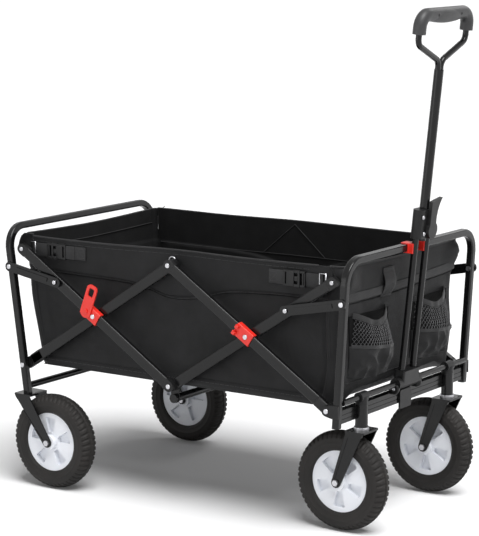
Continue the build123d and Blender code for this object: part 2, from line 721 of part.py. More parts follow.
def handle_clip():
    """Left red clip round the front top bar, with a finger each side of its lower tube."""
    half = TUBE / 2
    finger_reach = LOWER_TUBE_R + CLIP_PLAY + CLIP_FINGER
    y = (TUBE_SPREAD - finger_reach, CLIP_HALF)
    x = (-half, half + CLIP_WALL)
    z = (-half - CLIP_WALL, half + CLIP_WALL)
    clip = block(x, y, z)
    clip -= block((x[0], half), y, (-half, half))
    for way in (-1, 1):
        limits = sorted((TUBE_SPREAD + way * finger_reach, TUBE_SPREAD + way * (finger_reach - CLIP_FINGER)))
        clip += block((x[1], x[1] + CLIP_REACH), limits, z)
    lean = degrees(atan2(FRONT_TOP_X - front_leg_x(pivot_z), top_z - pivot_z))
    return Pos(FRONT_TOP_X, 0, top_z) * Rot(0, lean, 0) * clip


def wheel_pieces(nodes, name, axle_x, y_mid, turn):
    """Tyre and hub of one wheel, the hub's pockets turned about the axle."""
    place = Pos(axle_x, y_mid, WHEEL_R)
    nodes[name + "_tyre"] = [place * tyre()]
    nodes[name + "_hub"] = [place * Rot(0, turn, 0) * hub()]


def caster_pieces(nodes, name, y_mid):
    """Fork, kingpin and axle bolt of one front caster."""
    axle = (STEM_X - CASTER_TRAIL, WHEEL_R)
    shape = fork(axle, STEM_X, caster_plate_top, y_mid)
    stem = Pos(STEM_X, y_mid, 0)
    low = caster_plate_top - FORK_PLATE_T
    high = sleeve_top - KINGPIN_TOP_INSET
    shape -= stem * Pos(0, 0, (low + high) / 2) * Cylinder(KINGPIN_R, high - low)
    nodes[name + "_caster_fork"] = [shape]
    pin = Pos(0, 0, (low + high) / 2) * Cylinder(KINGPIN_R, high - low)
    ring_h = RING_H - RING_PLAY
    pin += Pos(0, 0, caster_plate_top + ring_h / 2) * Cylinder(RING_R, ring_h)
    nodes[name + "_kingpin"] = [stem * pin]
    nodes[name + "_caster_bolt"] = [axle_bolt(axle, y_mid)]


def rear_frame_pieces(nodes):
    """Rear hoop, rod, forks, bolts and rivets."""
    hoop = tilted_hoop((-REAR_TOP_X, rear_top_z), rear_leg_x, rear_plate_top)
    nodes["rear_hoop"] = [hoop - both(pin_hole(rear_low, 0)) - both(pin_hole(rear_strut_leg, 0))]
    rod_z = rear_plate_top + REAR_ROD_RISE
    nodes["rear_cross_rod"] = [bar_y(REAR_ROD_R, (rear_leg_x(rod_z), rod_z), (-leg_in, leg_in))]
    axle = (-REAR_AXLE_X, WHEEL_R)
    nodes["rear_forks"] = pair(fork(axle, rear_leg_x(rear_plate_top), rear_plate_top, rear_axle_y))
    nodes["rear_axle_bolts"] = pair(axle_bolt(axle, rear_axle_y))
    low = rivet(rear_low, (inner_head, leg_out))
    high = rivet(rear_strut_leg, (leg_in, strut_layer[1] + HEAD_PLAY))
    nodes["rear_pivot_rivets"] = pair(low) + pair(high)


def linkage_pieces(nodes):
    """Scissor bars of both sides with their fittings, rivets, latches, struts and bottom hub."""
    bars = side_bars(rear_low, top_mid, inner_layer)
    nodes["rear_risers"], nodes["rear_riser_ends"] = bars
    saddle_top = outer_layer[1] + SADDLE_T + HEAD_PLAY
    rivets = pair(rivet(rear_cross, (inner_head, saddle_top)))
    rivets += pair(rivet(top_mid, (inner_head, outer_layer[1] + HEAD_PLAY)))
    nodes["rear_crossing_rivets"] = rivets

    bars = side_bars(rear_high, low_mid, outer_layer)
    nodes["rear_fallers"], nodes["rear_faller_ends"] = bars
    place = along(rear_high, low_mid)
    nodes["rear_latch_saddles"] = pair(place * (saddle(REAR_SADDLE_UP, SADDLE_DOWN) + tab_pivot()))
    plate_in = inner_layer[0] - HUB_PLATE_T - SLIDE_PLAY
    nodes["bottom_rivets"] = pair(rivet(low_mid, (plate_in, outer_layer[1] + HEAD_PLAY)))
    tabs = pair(latch_tab())
    nodes["left_latch_tab"] = [tabs[0]]
    nodes["right_latch_tab"] = [tabs[1]]

    bars = side_bars(top_mid, front_low, outer_layer)
    nodes["front_risers"], nodes["front_riser_ends"] = bars
    place = along(top_mid, front_low)
    nodes["front_latch_saddles"] = pair(place * (saddle(FRONT_SADDLE_UP, SADDLE_DOWN) + front_lugs()))
    nodes["front_crossing_rivets"] = pair(rivet(front_cross, (inner_head, saddle_top)))

    bars = side_bars(low_mid, front_high, inner_layer, start_play=OPEN_PIN_PLAY)
    nodes["front_fallers"], nodes["front_faller_ends"] = bars
    nodes["rear_struts"] = pair(strut(rear_strut_leg, rear_strut_bar, outer_layer[1]))
    front = strut(rear_mirror(front_strut_leg), rear_mirror(front_strut_bar), inner_layer[1])
    nodes["front_struts"] = pair(mirror(front, about=Plane.YZ))

    nodes["centre_hub_plates"] = pair(hub_plate())
    tube_half = plate_in
    at = (low_mid[0], low_mid[1] - HUB_DROP)
    tube = bar_y(CROSS_TUBE_R, at, (-tube_half, tube_half))
    nodes["centre_cross_tube"] = [tube - bar_y(CROSS_TUBE_R - CROSS_TUBE_WALL, at, (-tube_half, tube_half))]


def rear_mirror(point):
    """The matching side view point at the other end of the wagon."""
    return (-point[0], point[1])


def front_frame_pieces(nodes):
    """Front hoop, cross members, caster posts, brackets, rivets and handle fittings."""
    foot_z = wheel_top + FRONT_FOOT_ABOVE_WHEELS
    hoop = tilted_hoop((FRONT_TOP_X, top_z), front_leg_x, foot_z)
    nodes["front_hoop"] = [hoop - both(pin_hole(front_strut_leg, 0))]
    nodes["front_rod"] = [bar_y(FRONT_ROD_R, (STEM_X, front_rod_z), (-leg_in, leg_in))]
    nodes["front_channel"] = [front_channel()]
    sleeve = Pos(STEM_X, stem_y, (sleeve_bottom + sleeve_top) / 2) * (
        Cylinder(SLEEVE_R, SLEEVE_H) - Cylinder(KINGPIN_R + RUNNING_PLAY, SLEEVE_H)
    )
    nodes["caster_sleeves"] = pair(sleeve)
    nodes["rod_clamps"] = pair(rod_clamp())
    nodes["front_pivot_brackets"] = pair(bracket())
    low = rivet(front_low, (outer_layer[0] - HEAD_PLAY, leg_out + BRACKET_T))
    high = rivet(front_strut_leg, (leg_in, strut_layer[1] + HEAD_PLAY))
    nodes["front_pivot_rivets"] = pair(low) + pair(high)
    nodes["handle_bracket"] = [handle_plate()]
    nodes["handle_clip"] = pair(handle_clip())


def tub_pieces(nodes):
    """Fabric walls, pockets and floor boards."""
    nodes["tub_side_walls"] = pair(side_wall())
    nodes["tub_rear_wall"] = [end_wall(-1, TUB_REAR_BOTTOM_X, TUB_REAR_TOP_X, 0)]
    nodes["tub_front_wall"] = [end_wall(1, TUB_FRONT_BOTTOM_X, TUB_FRONT_TOP_X, TUB_FRONT_RISE)]
    nodes["front_pockets"] = pair(pocket(POCKET_Y))
    nodes["rear_floor_board"] = [floor_board(-1)]
    nodes["front_floor_board"] = [floor_board(1)]


def handle_pieces(nodes):
    """Foot, lower tubes, collar, lever, upper tube, yoke and grip."""
    place = handle_place()
    tube_z = (FOOT_TOP, COLLAR_BOTTOM + COLLAR_SOCKET)
    upper_z_limits = (COLLAR_BOTTOM - UPPER_TUBE_TAIL, UPPER_TUBE_TOP)
    nodes["handle_foot"] = [place * handle_foot()]
    nodes["handle_tubes"] = [
        place * round_tube(LOWER_TUBE_R, LOWER_TUBE_WALL, side * TUBE_SPREAD, tube_z) for side in (-1, 1)
    ]
    nodes["handle_collar"] = [place * handle_collar()]
    nodes["clamp_lever"] = [place * clamp_lever()]
    nodes["handle_upper_tube"] = [place * round_tube(UPPER_TUBE_R, UPPER_TUBE_WALL, 0, upper_z_limits)]
    nodes["handle_yoke"] = [place * (yoke_arm() + mirror(yoke_arm(), about=Plane.XZ))]
    nodes["handle_grip"] = [place * handle_grip()]


def all_nodes():
    """Every piece by its node's name, with the origin under the middle of the whole wagon."""
    nodes = {}
    rear_frame_pieces(nodes)
    for name, side in (("left", 1), ("right", -1)):
        wheel_pieces(nodes, "rear_" + name, -REAR_AXLE_X, side * rear_axle_y, 0)
        wheel_pieces(nodes, "front_" + name, STEM_X - CASTER_TRAIL, side * stem_y, FRONT_HUB_TURN)
        caster_pieces(nodes, name, side * stem_y)
    linkage_pieces(nodes)
    front_frame_pieces(nodes)
    tub_pieces(nodes)
    handle_pieces(nodes)
    low = min(piece.bounding_box().min.X for pieces in nodes.values() for piece in pieces)
    high = max(piece.bounding_box().max.X for pieces in nodes.values() for piece in pieces)
    shift = Pos(-(low + high) / 2, 0, 0)
    return {name: [shift * piece for piece in pieces] for name, pieces in nodes.items()}, shift


wagon, origin_shift = all_nodes()
os.makedirs("parts", exist_ok=True)
for node_name, node_pieces in wagon.items():
    shape = node_pieces[0] if len(node_pieces) == 1 else Compound(children=node_pieces)
    export_step(shape, f"parts/{node_name}.step")
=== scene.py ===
"""Looks of the folding wagon: materials, fabric tub, treaded tyres, straps and small fastenings."""
import json
import math

import bmesh
import bpy
from mathutils import Matrix, Vector, noise


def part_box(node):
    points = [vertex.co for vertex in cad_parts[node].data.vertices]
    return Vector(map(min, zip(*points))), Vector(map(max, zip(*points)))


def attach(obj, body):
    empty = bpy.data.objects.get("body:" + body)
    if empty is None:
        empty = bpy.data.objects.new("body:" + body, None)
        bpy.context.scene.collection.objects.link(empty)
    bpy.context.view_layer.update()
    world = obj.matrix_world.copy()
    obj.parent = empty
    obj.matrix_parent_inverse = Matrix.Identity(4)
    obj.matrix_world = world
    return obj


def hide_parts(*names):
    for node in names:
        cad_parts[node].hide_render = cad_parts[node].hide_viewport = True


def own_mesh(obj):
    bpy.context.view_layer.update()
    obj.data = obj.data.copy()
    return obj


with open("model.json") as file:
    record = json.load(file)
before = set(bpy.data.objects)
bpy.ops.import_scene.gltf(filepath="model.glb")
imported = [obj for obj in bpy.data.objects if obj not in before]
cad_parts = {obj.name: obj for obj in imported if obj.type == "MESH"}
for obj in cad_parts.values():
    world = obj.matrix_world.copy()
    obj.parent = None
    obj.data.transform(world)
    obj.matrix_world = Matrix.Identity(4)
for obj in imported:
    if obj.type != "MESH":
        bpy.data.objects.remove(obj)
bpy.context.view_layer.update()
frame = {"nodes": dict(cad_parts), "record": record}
MM = 0.001

# The middle of the linkage, from which lengths along X are counted
cross_low, cross_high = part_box("centre_cross_tube")
MID_X = (cross_low.x + cross_high.x) / 2

# Fabric tub, in millimetres
WALL_Y = 227.2
REAR_CORNER = 14.0
FRONT_CORNER = 24.0
CORNER_LAP = 9.0
FLOOR_Z = 256.0
RIM_Z = 533.0
CLOTH_T = 1.2
LAYER_T = 0.9
LINING_GAP = 0.3
HEM_H = 18.0
HEM_OUT = 2.6
GROOVE = 7.0
GROOVE_W = 6.0
GROOVE_INSET = 14.0
GROOVE_WAVE = 5.0
GROOVE_RATE = 0.02
GROOVE_FADE = 0.1
SIDE_INSET = 2.6
SIDE_CREASE = 11.0
INWARD_MOST = 15.0
END_INSET = 1.6
END_CREASE = 8.0
END_BULGE = 5.0
END_LEAN = 0.1
SEAM_STEP = 2.0
RIM_R = 1.9
RIM_END = 0.95
PIPING_R = 0.8
SEAM_R = 0.7
SEAM_SPREAD = 7.0
SEAM_SIDES = 6
HEM_SEAM_RISE = 1.5
HEM_STITCH_DROP = 4.0
RIM_STITCH_DROP = 9.0
END_STITCH_RISE = 4.0
END_LINING_DROP = 31.0

# The walls turn under to the floor over this share of their height
ROLL = 4.0
ROLL_SHARE = 0.035

# Where the folds die out, in shares of a side wall and millimetres of an end wall
SIDE_END_FADE = 0.04
SIDE_FOOT_FADE = (0.05, 0.30)
END_FOOT_FADE = 70.0
END_CORNER_FADE = 30.0

# Shares of the folds that the bands take away, and that stay round the corners
SIDE_BAND_HOLD = 0.72
END_BAND_HOLD = 0.6
CORNER_FOLDS = 0.25

# Folds of hanging cloth: rate along and up a wall, per millimetre, and share of the depth
BROAD_RATE = (0.006, 0.009)
BROAD_SHARE = 0.30
SLANT = (0.7, 0.5)
SLANT_RATE = (0.012, 0.004)
SLANT_SHARE = 0.22
FINE_RATE = (0.030, 0.022)
FINE_SHARE = 0.08

# Columns and rows of the cloth, steps of its lines, and shares of a wall that they span
SIDE_GRID = (190, 110)
END_GRID = (150, 84)
FLOOR_GRID = (120, 60)
LINE_STEPS = 160
PATCH_STEPS = 40
SIDE_SPAN = (0.01, 0.93)
END_SEAM_SPAN = (0.08, 0.92)
END_HEM_SPAN = (0.10, 0.90)
END_LINING_SPAN = (0.06, 0.94)

# Height and distance from the middle of the linkage, up the rear and front walls
REAR_FACE = ((256, 350), (325, 367), (395, 381), (431, 385), (468, 387), (536, 390))
FRONT_FACE = ((256, 374), (300, 384), (345, 389), (428, 386), (483, 391), (536, 396))

# Height of each end wall's lower edge, which falls to the floor between these distances across
REAR_FOOT = 257.0
FRONT_FOOT = 282.0
FOOT_FADE = (150.0, 222.0)

# Distance and height along the rims and the band seams
RIGHT_RIM = ((-390, 531), (-361, 526.5), (-195, 525.6), (0, 529.5), (153, 528), (297, 529), (395, 531))
LEFT_RIM = ((-390, 531), (-361, 533), (-180, 532), (0, 534), (200, 532), (395, 531))
END_RIM = ((-230, 531), (-100, 527.5), (0, 526), (100, 527.5), (230, 531))
SIDE_SEAM = (
    (-390, 459), (-260, 457), (-125, 453), (-71, 444), (-14, 431), (60, 437), (140, 457), (227, 463),
    (395, 465),
)
REAR_SEAM = ((-230, 460), (230, 460))
FRONT_SEAM = ((-230, 456), (-87, 457), (230, 466))
PATCH_HALF = 85.0
PATCH_LOW = 458.0
PATCH_APEX = 525.0
EAR = 11.0
EAR_Y = (150.0, 222.0)
EAR_LOW = (466.0, 500.0)
EAR_HIGH = (512.0, 533.0)


def place(x, y, z):
    """Row frame point from millimetres about the middle of the linkage."""
    return Vector((MID_X + x * MM, y * MM, z * MM))


def new_object(name, data):
    """Object of a mesh or a light, in the scene."""
    obj = bpy.data.objects.new(name, data)
    bpy.context.scene.collection.objects.link(obj)
    return obj


def finish_mesh(name, mesh, materials, smooth=True):
    """Object of a mesh, with its shading and materials."""
    for polygon in mesh.polygons:
        polygon.use_smooth = smooth
    for material in materials:
        mesh.materials.append(material)
    return new_object(name, mesh)


def mesh_object(name, verts, faces, materials, smooth=True):
    """Object from vertices and faces, with its materials."""
    mesh = bpy.data.meshes.new(name)
    mesh.from_pydata([tuple(v) for v in verts], [], faces)
    mesh.validate()
    return finish_mesh(name, mesh, materials, smooth)


def apply_modifiers(obj):
    """Bakes an object's modifiers into its mesh."""
    graph = bpy.context.evaluated_depsgraph_get()
    baked = bpy.data.meshes.new_from_object(obj.evaluated_get(graph))
    obj.modifiers.clear()
    obj.data = baked
    return obj


def join_meshes(name, objects):
    """One object made of several, each with its first material."""
    mesh = bpy.data.meshes.new(name)
    builder = bmesh.new()
    slots = []
    for obj in objects:
        material = obj.data.materials[0]
        if material not in slots:
            slots.append(material)
        start = len(builder.faces)
        builder.from_mesh(obj.data)
        builder.faces.ensure_lookup_table()
        for face in builder.faces[start:]:
            face.material_index = slots.index(material)
        bpy.data.objects.remove(obj)
    builder.to_mesh(mesh)
    builder.free()
    return finish_mesh(name, mesh, slots)


def ride(obj, body):
    """Puts a piece on a body."""
    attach(obj, body)
    return obj


def clamp(value):
    """Value kept between 0 and 1."""
    return min(max(value, 0.0), 1.0)


def smoothstep(low, high, value):
    """Smooth rise from 0 to 1 between two limits."""
    share = clamp((value - low) / (high - low))
    return share * share * (3 - 2 * share)


def mix(first, second, share):
    """Value a share of the way from one to another."""
    return first + (second - first) * share


def shares(steps):
    """Even shares from 0 to 1."""
    return [index / steps for index in range(steps + 1)]


def profile(points, key):
    """Smooth curve through points of key and value."""
    last = len(points) - 1
    index = 0
    while index < last - 1 and key > points[index + 1][0]:
        index += 1

    def slope(k):
        before = points[max(k - 1, 0)]
        after = points[min(k + 1, last)]
        return (after[1] - before[1]) / (after[0] - before[0])

    start, first = points[index]
    end, second = points[index + 1]
    span = end - start
    t = clamp((key - start) / span)
    pull = t * (1 - t) * span
    blend = t * t * (3 - 2 * t)
    return first + (second - first) * blend + pull * ((1 - t) * slope(index) - t * slope(index + 1))


# Materials

# Period of a wave texture at scale 1, in metres
WAVE_PERIOD = 0.314159
RAMP_ENDS = (0.3, 0.7)

# Depth of a surface's grain, and spacing and ribs of the threads, in metres
GRAIN_DEPTH = 0.4 * MM
WEAVE = 1.1 * MM
RIB_DEPTH = 0.6 * MM


def material_base(name, color, roughness, metallic=0.0, specular=0.5, sheen=0.0, sheen_roughness=0.5):
    """Principled material and handles to its parts."""
    material = bpy.data.materials.new(name)
    material.use_nodes = True
    tree = material.node_tree
    shader = tree.nodes["Principled BSDF"]
    values = {
        "Base Color": (*color, 1.0), "Roughness": roughness, "Metallic": metallic,
        "Specular IOR Level": specular, "Sheen Weight": sheen, "Sheen Roughness": sheen_roughness,
    }
    for socket, value in values.items():
        shader.inputs[socket].default_value = value
    return material, tree, shader


def texture_node(tree, kind, scale):
    """Texture over object coordinates."""
    coords = tree.nodes.new("ShaderNodeTexCoord")
    texture = tree.nodes.new(kind)
    texture.inputs["Scale"].default_value = scale
    tree.links.new(coords.outputs["Object"], texture.inputs["Vector"])
    return texture


def noise_node(tree, scale, detail=4.0):
    """Noise, 0 to 1."""
    texture = texture_node(tree, "ShaderNodeTexNoise", scale)
    texture.inputs["Detail"].default_value = detail
    return texture.outputs["Fac"]


def wave_node(tree, direction, period):
    """Bands along one axis, one per period in metres."""
    texture = texture_node(tree, "ShaderNodeTexWave", WAVE_PERIOD / period)
    texture.wave_type = "BANDS"
    texture.bands_direction = direction
    return texture.outputs["Fac"]


def ramp_node(tree, source, low, high):
    """Colour ramp between two colours."""
    ramp = tree.nodes.new("ShaderNodeValToRGB")
    for element, color, position in zip(ramp.color_ramp.elements, (low, high), RAMP_ENDS):
        element.color = (*color, 1.0)
        element.position = position
    tree.links.new(source, ramp.inputs["Fac"])
    return ramp.outputs["Color"]


def range_node(tree, source, low, high):
    """Maps a 0 to 1 value into a range."""
    mapper = tree.nodes.new("ShaderNodeMapRange")
    mapper.inputs["To Min"].default_value = low
    mapper.inputs["To Max"].default_value = high
    tree.links.new(source, mapper.inputs["Value"])
    return mapper.outputs["Result"]


def math_node(tree, operation, first, second):
    """Two-input arithmetic on links or plain numbers."""
    node = tree.nodes.new("ShaderNodeMath")
    node.operation = operation
    for socket, value in zip(node.inputs, (first, second)):
        if isinstance(value, (int, float)):
            socket.default_value = value
        else:
            tree.links.new(value, socket)
    return node.outputs["Value"]


def bump_node(tree, shader, height, strength, distance):
    """Bump from a height link."""
    bump = tree.nodes.new("ShaderNodeBump")
    bump.inputs["Strength"].default_value = strength
    bump.inputs["Distance"].default_value = distance
    tree.links.new(height, bump.inputs["Height"])
    tree.links.new(bump.outputs["Normal"], shader.inputs["Normal"])


def patchy_color(tree, shader, dark, light, scale):
    """Colour that varies in patches."""
    tree.links.new(ramp_node(tree, noise_node(tree, scale), dark, light), shader.inputs["Base Color"])


def patchy_gloss(tree, shader, rough, scale):
    """Roughness that varies in patches."""
    tree.links.new(range_node(tree, noise_node(tree, scale), *rough), shader.inputs["Roughness"])


def surface_material(name, dark, light, rough, grain_scale, grain, patch_scale=14.0, metallic=0.0,
                     specular=0.5):
    """Colour that varies in patches, uneven gloss and a fine grain."""
    material, tree, shader = material_base(name, light, rough[0], metallic, specular)
    patchy_color(tree, shader, dark, light, patch_scale)
    patchy_gloss(tree, shader, rough, patch_scale * 3)
    bump_node(tree, shader, noise_node(tree, grain_scale, detail=2.0), grain, GRAIN_DEPTH)
    return material


def cloth_material(name, dark, light, rough, specular):
    """Plain weave: warp and weft bands, faint slubs and a soft sheen."""
    material, tree, shader = material_base(name, light, rough[0], specular=specular, sheen=0.06,
                                           sheen_roughness=0.4)
    patchy_color(tree, shader, dark, light, scale=22.0)
    patchy_gloss(tree, shader, rough, scale=60.0)
    warp = math_node(tree, "ADD", wave_node(tree, "X", WEAVE), wave_node(tree, "Y", WEAVE))
    threads = math_node(tree, "MULTIPLY", warp, wave_node(tree, "Z", WEAVE))
    bump_node(tree, shader, threads, strength=0.3, distance=GRAIN_DEPTH)
    return material


def webbing_material(name, dark, light):
    """Narrow woven tape with diagonal ribs."""
    material, tree, shader = material_base(name, light, roughness=0.7, specular=0.3, sheen=0.08)
    patchy_color(tree, shader, dark, light, scale=40.0)
    bump_node(tree, shader, wave_node(tree, "DIAGONAL", 2 * WEAVE), strength=0.5, distance=RIB_DEPTH)
    return material


def grey(level, tint=1.04):
    """Near-neutral colour with a slightly cool blue."""
    return (level, level, level * tint)


POWDER = surface_material("powder_coat", grey(0.004), grey(0.007), (0.14, 0.24), 900.0, 0.06, specular=0.32)
MOULDED = surface_material("moulded_black", grey(0.005), grey(0.009), (0.34, 0.48), 1400.0, 0.16,
                           specular=0.3)
STEEL = surface_material("zinc_steel", grey(0.50), grey(0.68), (0.24, 0.40), 1200.0, 0.05, 60.0, 1.0)
RED = surface_material("red_plastic", (0.70, 0.020, 0.012), (0.80, 0.030, 0.018), (0.30, 0.42), 1500.0, 0.06)
RUBBER = surface_material("tyre_rubber", (0.010, 0.009, 0.0083), (0.018, 0.016, 0.0147), (0.55, 0.72),
                          700.0, 0.3, specular=0.3)
HUB = surface_material("hub_plastic", (0.74, 0.76, 0.81), (0.82, 0.84, 0.88), (0.30, 0.42), 1100.0, 0.05, 9.0)
GRIP = surface_material("grip_rubber", grey(0.022), grey(0.034), (0.40, 0.54), 1600.0, 0.22)
CLOTH = cloth_material("woven_cloth", grey(0.007), grey(0.0115, 1.07), (0.48, 0.66), 0.20)
LINING = cloth_material("lining_cloth", grey(0.007), grey(0.011), (0.60, 0.76), 0.12)
WEBBING = webbing_material("webbing", grey(0.014), grey(0.024))
NET = surface_material("net_strands", grey(0.065), grey(0.095), (0.50, 0.65), 900.0, 0.1)
# Painted shade: near-black cloth for the sheet inside each pocket, standing in for the shade in there
POCKET_SHADE = cloth_material("painted_pocket_shade", grey(0.003), grey(0.005), (0.75, 0.85), 0.05)
THREAD = surface_material("stitch_thread", grey(0.024), grey(0.038), (0.50, 0.65), 2500.0, 0.2)

SLOT_MATERIALS = {
    "frame": POWDER, "fittings": MOULDED, "fasteners": STEEL, "latches": RED, "tyres": RUBBER, "hubs": HUB,
    "cloth": CLOTH, "boards": LINING, "grip": GRIP,
}
for entry in frame["record"]["subparts"]:
    node_mesh = frame["nodes"][entry["node"]].data
    node_mesh.materials.clear()
    node_mesh.materials.append(SLOT_MATERIALS[entry["material_slot"]])


# Makers of cloth, tape, tube and thread

SQUARE = ((-1, -1), (1, -1), (1, 1), (-1, 1))
STITCH_LENGTH = 3.0 * MM
STITCH_GAP = 1.8 * MM
STITCH_R = 0.5 * MM
STEEP = 0.9
TAPE_EDGE = 0.3


def grid_mesh(name, point, columns, rows, materials, flip=False):
    """Sheet whose points come from a function of two shares, 0 to 1."""
    verts = [point(u, v) for v in shares(rows) for u in shares(columns)]
    faces = []
    width = columns + 1
    for row in range(rows):
        for column in range(columns):
            a = row * width + column
            corners = (a, a + 1, a + 1 + width, a + width)
            faces.append(corners[::-1] if flip else corners)
    return mesh_object(name, verts, faces, materials)


def cut_sheet(obj, width, length, rests_on, held="stretched"):
    """Thickens a sheet inward, with its last material inside; the size it was cut to is not used."""
    solid = obj.modifiers.new("thickness", "SOLIDIFY")
    solid.thickness = CLOTH_T * MM
    solid.offset = -1.0
    solid.material_offset = len(obj.data.materials) - 1
    apply_modifiers(obj)


def ring_faces(count, sides, closed):
    """Faces of a tube of rings, with end caps if it is open."""
    faces = []
    for index in range(count if closed else count - 1):
        a = index * sides
        b = ((index + 1) % count) * sides
        for k in range(sides):
            n = (k + 1) % sides
            faces.append((a + k, a + n, b + n, b + k))
    if not closed:
        last = (count - 1) * sides
        faces.append(tuple(range(sides - 1, -1, -1)))
        faces.append(tuple(range(last, last + sides)))
    return faces


def line_direction(line, index, closed=False):
    """Direction of a line of points at one of them."""
    count = len(line)
    if closed:
        return (line[(index + 1) % count] - line[index - 1]).normalized()
    return (line[min(index + 1, count - 1)] - line[max(index - 1, 0)]).normalized()


def strip_along(name, line, width, thickness, normal, material):
    """Flat tape along a line of points, its width square to the line and to a normal."""
    verts = []
    out = Vector(normal).normalized() * thickness * MM / 2
    for index, centre in enumerate(line):
        across = line_direction(line, index).cross(normal).normalized() * width * MM / 2
        for side, face in SQUARE:
            verts.append(centre + across * side + out * face)
    obj = mesh_object(name, verts, ring_faces(len(line), 4, False), [material])
    bevel = obj.modifiers.new("edges", "BEVEL")
    bevel.width = thickness * MM * TAPE_EDGE
    bevel.segments = 2
    return apply_modifiers(obj)


def square_to(direction):
    """Level direction square to another, or nearly level where that one is steep."""
    helper = Vector((0, 0, 1)) if abs(direction.z) < STEEP else Vector((1, 0, 0))
    return direction.cross(helper).normalized()


def circle(centre, first, second, radius, sides):
    """Points round a centre in the plane of two directions; radius in millimetres."""
    points = []
    for k in range(sides):
        angle = 2 * math.pi * k / sides
        points.append(centre + (first * math.cos(angle) + second * math.sin(angle)) * radius * MM)
    return points


def tube_along(name, line, radius, material, sides=8, closed=False, normal=None):
    """Round tube along a line of points, which may lie in a plane of known normal."""
    verts = []
    for index, centre in enumerate(line):
        ahead = line_direction(line, index, closed)
        first = ahead.cross(normal).normalized() if normal else square_to(ahead)
        second = ahead.cross(first).normalized()
        verts += circle(centre, first, second, radius, sides)
    return mesh_object(name, verts, ring_faces(len(line), sides, closed), [material])


def seam_tube(line):
    """Round edge of a sewn seam."""
    return tube_along("seam", line, SEAM_R, LINING, SEAM_SIDES)


def piping(line):
    """Thin piping."""
    return tube_along("piping", line, PIPING_R, WEBBING, SEAM_SIDES)


def stitches(name, line, out):
    """Row of thread stitches along a line of points, standing out along a normal."""
    verts = []
    faces = []
    carried = 0.0
    for start, end in zip(line, line[1:]):
        span = (end - start).length
        if span == 0.0:
            continue
        ahead = (end - start) / span
        across = ahead.cross(out).normalized() * STITCH_R
        while carried + STITCH_LENGTH <= span:
            a = start + ahead * carried
            base = len(verts)
            for centre in (a, a + ahead * STITCH_LENGTH):
                verts += [centre + across, centre + out * STITCH_R, centre - across]
            faces += [(base, base + 3, base + 4, base + 1), (base + 1, base + 4, base + 5, base + 2)]
            faces += [(base, base + 1, base + 2), (base + 5, base + 4, base + 3)]
            carried += STITCH_LENGTH + STITCH_GAP
        carried = max(carried - span, 0.0)
    return mesh_object(name, verts, faces, [THREAD])


def rounded_block(name, centre, size, radius, material, turn=0.0):
    """Block with rounded edges, turned about Y; sizes in millimetres."""
    builder = bmesh.new()
    bmesh.ops.create_cube(builder, size=1.0)
    for vert in builder.verts:
        vert.co = Vector([vert.co[k] * size[k] * MM for k in range(3)])
    bmesh.ops.bevel(builder, geom=builder.edges[:], offset=radius * MM, segments=3, affect="EDGES",
                    profile=0.5)
    builder.transform(Matrix.Translation(centre) @ Matrix.Rotation(turn, 4, "Y"))
    mesh = bpy.data.meshes.new(name)
    builder.to_mesh(mesh)
    builder.free()
    return finish_mesh(name, mesh, [material])


def lathe_along(name, centre, axis, outline, material, sides=24):
    """Turned piece about an axis, from distance and radius pairs in millimetres."""
    axis = axis.normalized()
    first = square_to(axis)
    second = axis.cross(first)
    verts = []
    for reach, radius in outline:
        verts += circle(centre + axis * reach * MM, first, second, radius, sides)
    return mesh_object(name, verts, ring_faces(len(outline), sides, False), [material])


# Walls and floor of the tub

def ridge(x, y, z):
    """Noise with sharp ridges, up to 1."""
    return 1 - 2 * abs(noise.noise(Vector((x, y, z))))


def crease(a, b, seed):
    """Soft folds of hanging cloth, about 0 to 1, over two lengths in millimetres."""
    broad = noise.noise(Vector((a * BROAD_RATE[0], b * BROAD_RATE[1], seed)))
    slanted = ridge((a + SLANT[0] * b) * SLANT_RATE[0], (b - SLANT[1] * a) * SLANT_RATE[1], seed + 7.0)
    fine = noise.noise(Vector((a * FINE_RATE[0], b * FINE_RATE[1], seed + 3.0)))
    return 0.5 + BROAD_SHARE * broad + SLANT_SHARE * slanted + FINE_SHARE * fine


def share_at(height):
    """Share of a wall's height."""
    return (height - FLOOR_Z) / (RIM_Z - FLOOR_Z)


def side_point(side, rim, seed):
    """Point function of one side wall, along it from the rear and up it."""
    def point(u, v):
        level = mix(FLOOR_Z, RIM_Z, v)
        rear = REAR_CORNER - profile(REAR_FACE, level)
        front = profile(FRONT_FACE, level) - FRONT_CORNER
        x = mix(rear, front, u)
        z = mix(FLOOR_Z, profile(rim, x), v)
        band = smoothstep(-SEAM_STEP, SEAM_STEP, z - profile(SIDE_SEAM, x))
        hem = 1 - smoothstep(-SEAM_STEP, SEAM_STEP, z - FLOOR_Z - HEM_H)
        ends = smoothstep(0.0, SIDE_END_FADE, u) * smoothstep(0.0, SIDE_END_FADE, 1 - u)
        free = smoothstep(*SIDE_FOOT_FADE, v) * (1 - SIDE_BAND_HOLD * band) * ends
        inward = SIDE_INSET + SIDE_CREASE * crease(x, z, seed) * free - LAYER_T * band - HEM_OUT * hem
        inward += ROLL * (1 - smoothstep(0.0, ROLL_SHARE, v))
        fold = front - GROOVE_INSET + GROOVE_WAVE * noise.noise(Vector((z * GROOVE_RATE, seed, 0.0)))
        groove = math.exp(-((x - fold) / GROOVE_W) ** 2)
        inward += GROOVE * groove * (1 - band) * smoothstep(0.0, GROOVE_FADE, v)
        return place(x, side * (WALL_Y - min(inward, INWARD_MOST)), z)
    return point


def end_half(corner):
    """Half of an end wall's length round both its corners."""
    return WALL_Y - corner + corner * math.pi / 2 + CORNER_LAP


def lower_edge(foot, y):
    """Height of an end wall's lower edge across it."""
    return mix(foot, FLOOR_Z, smoothstep(*FOOT_FADE, abs(y)))


def end_out(way):
    """Direction out of an end wall."""
    return Vector((way, 0, -END_LEAN)).normalized()


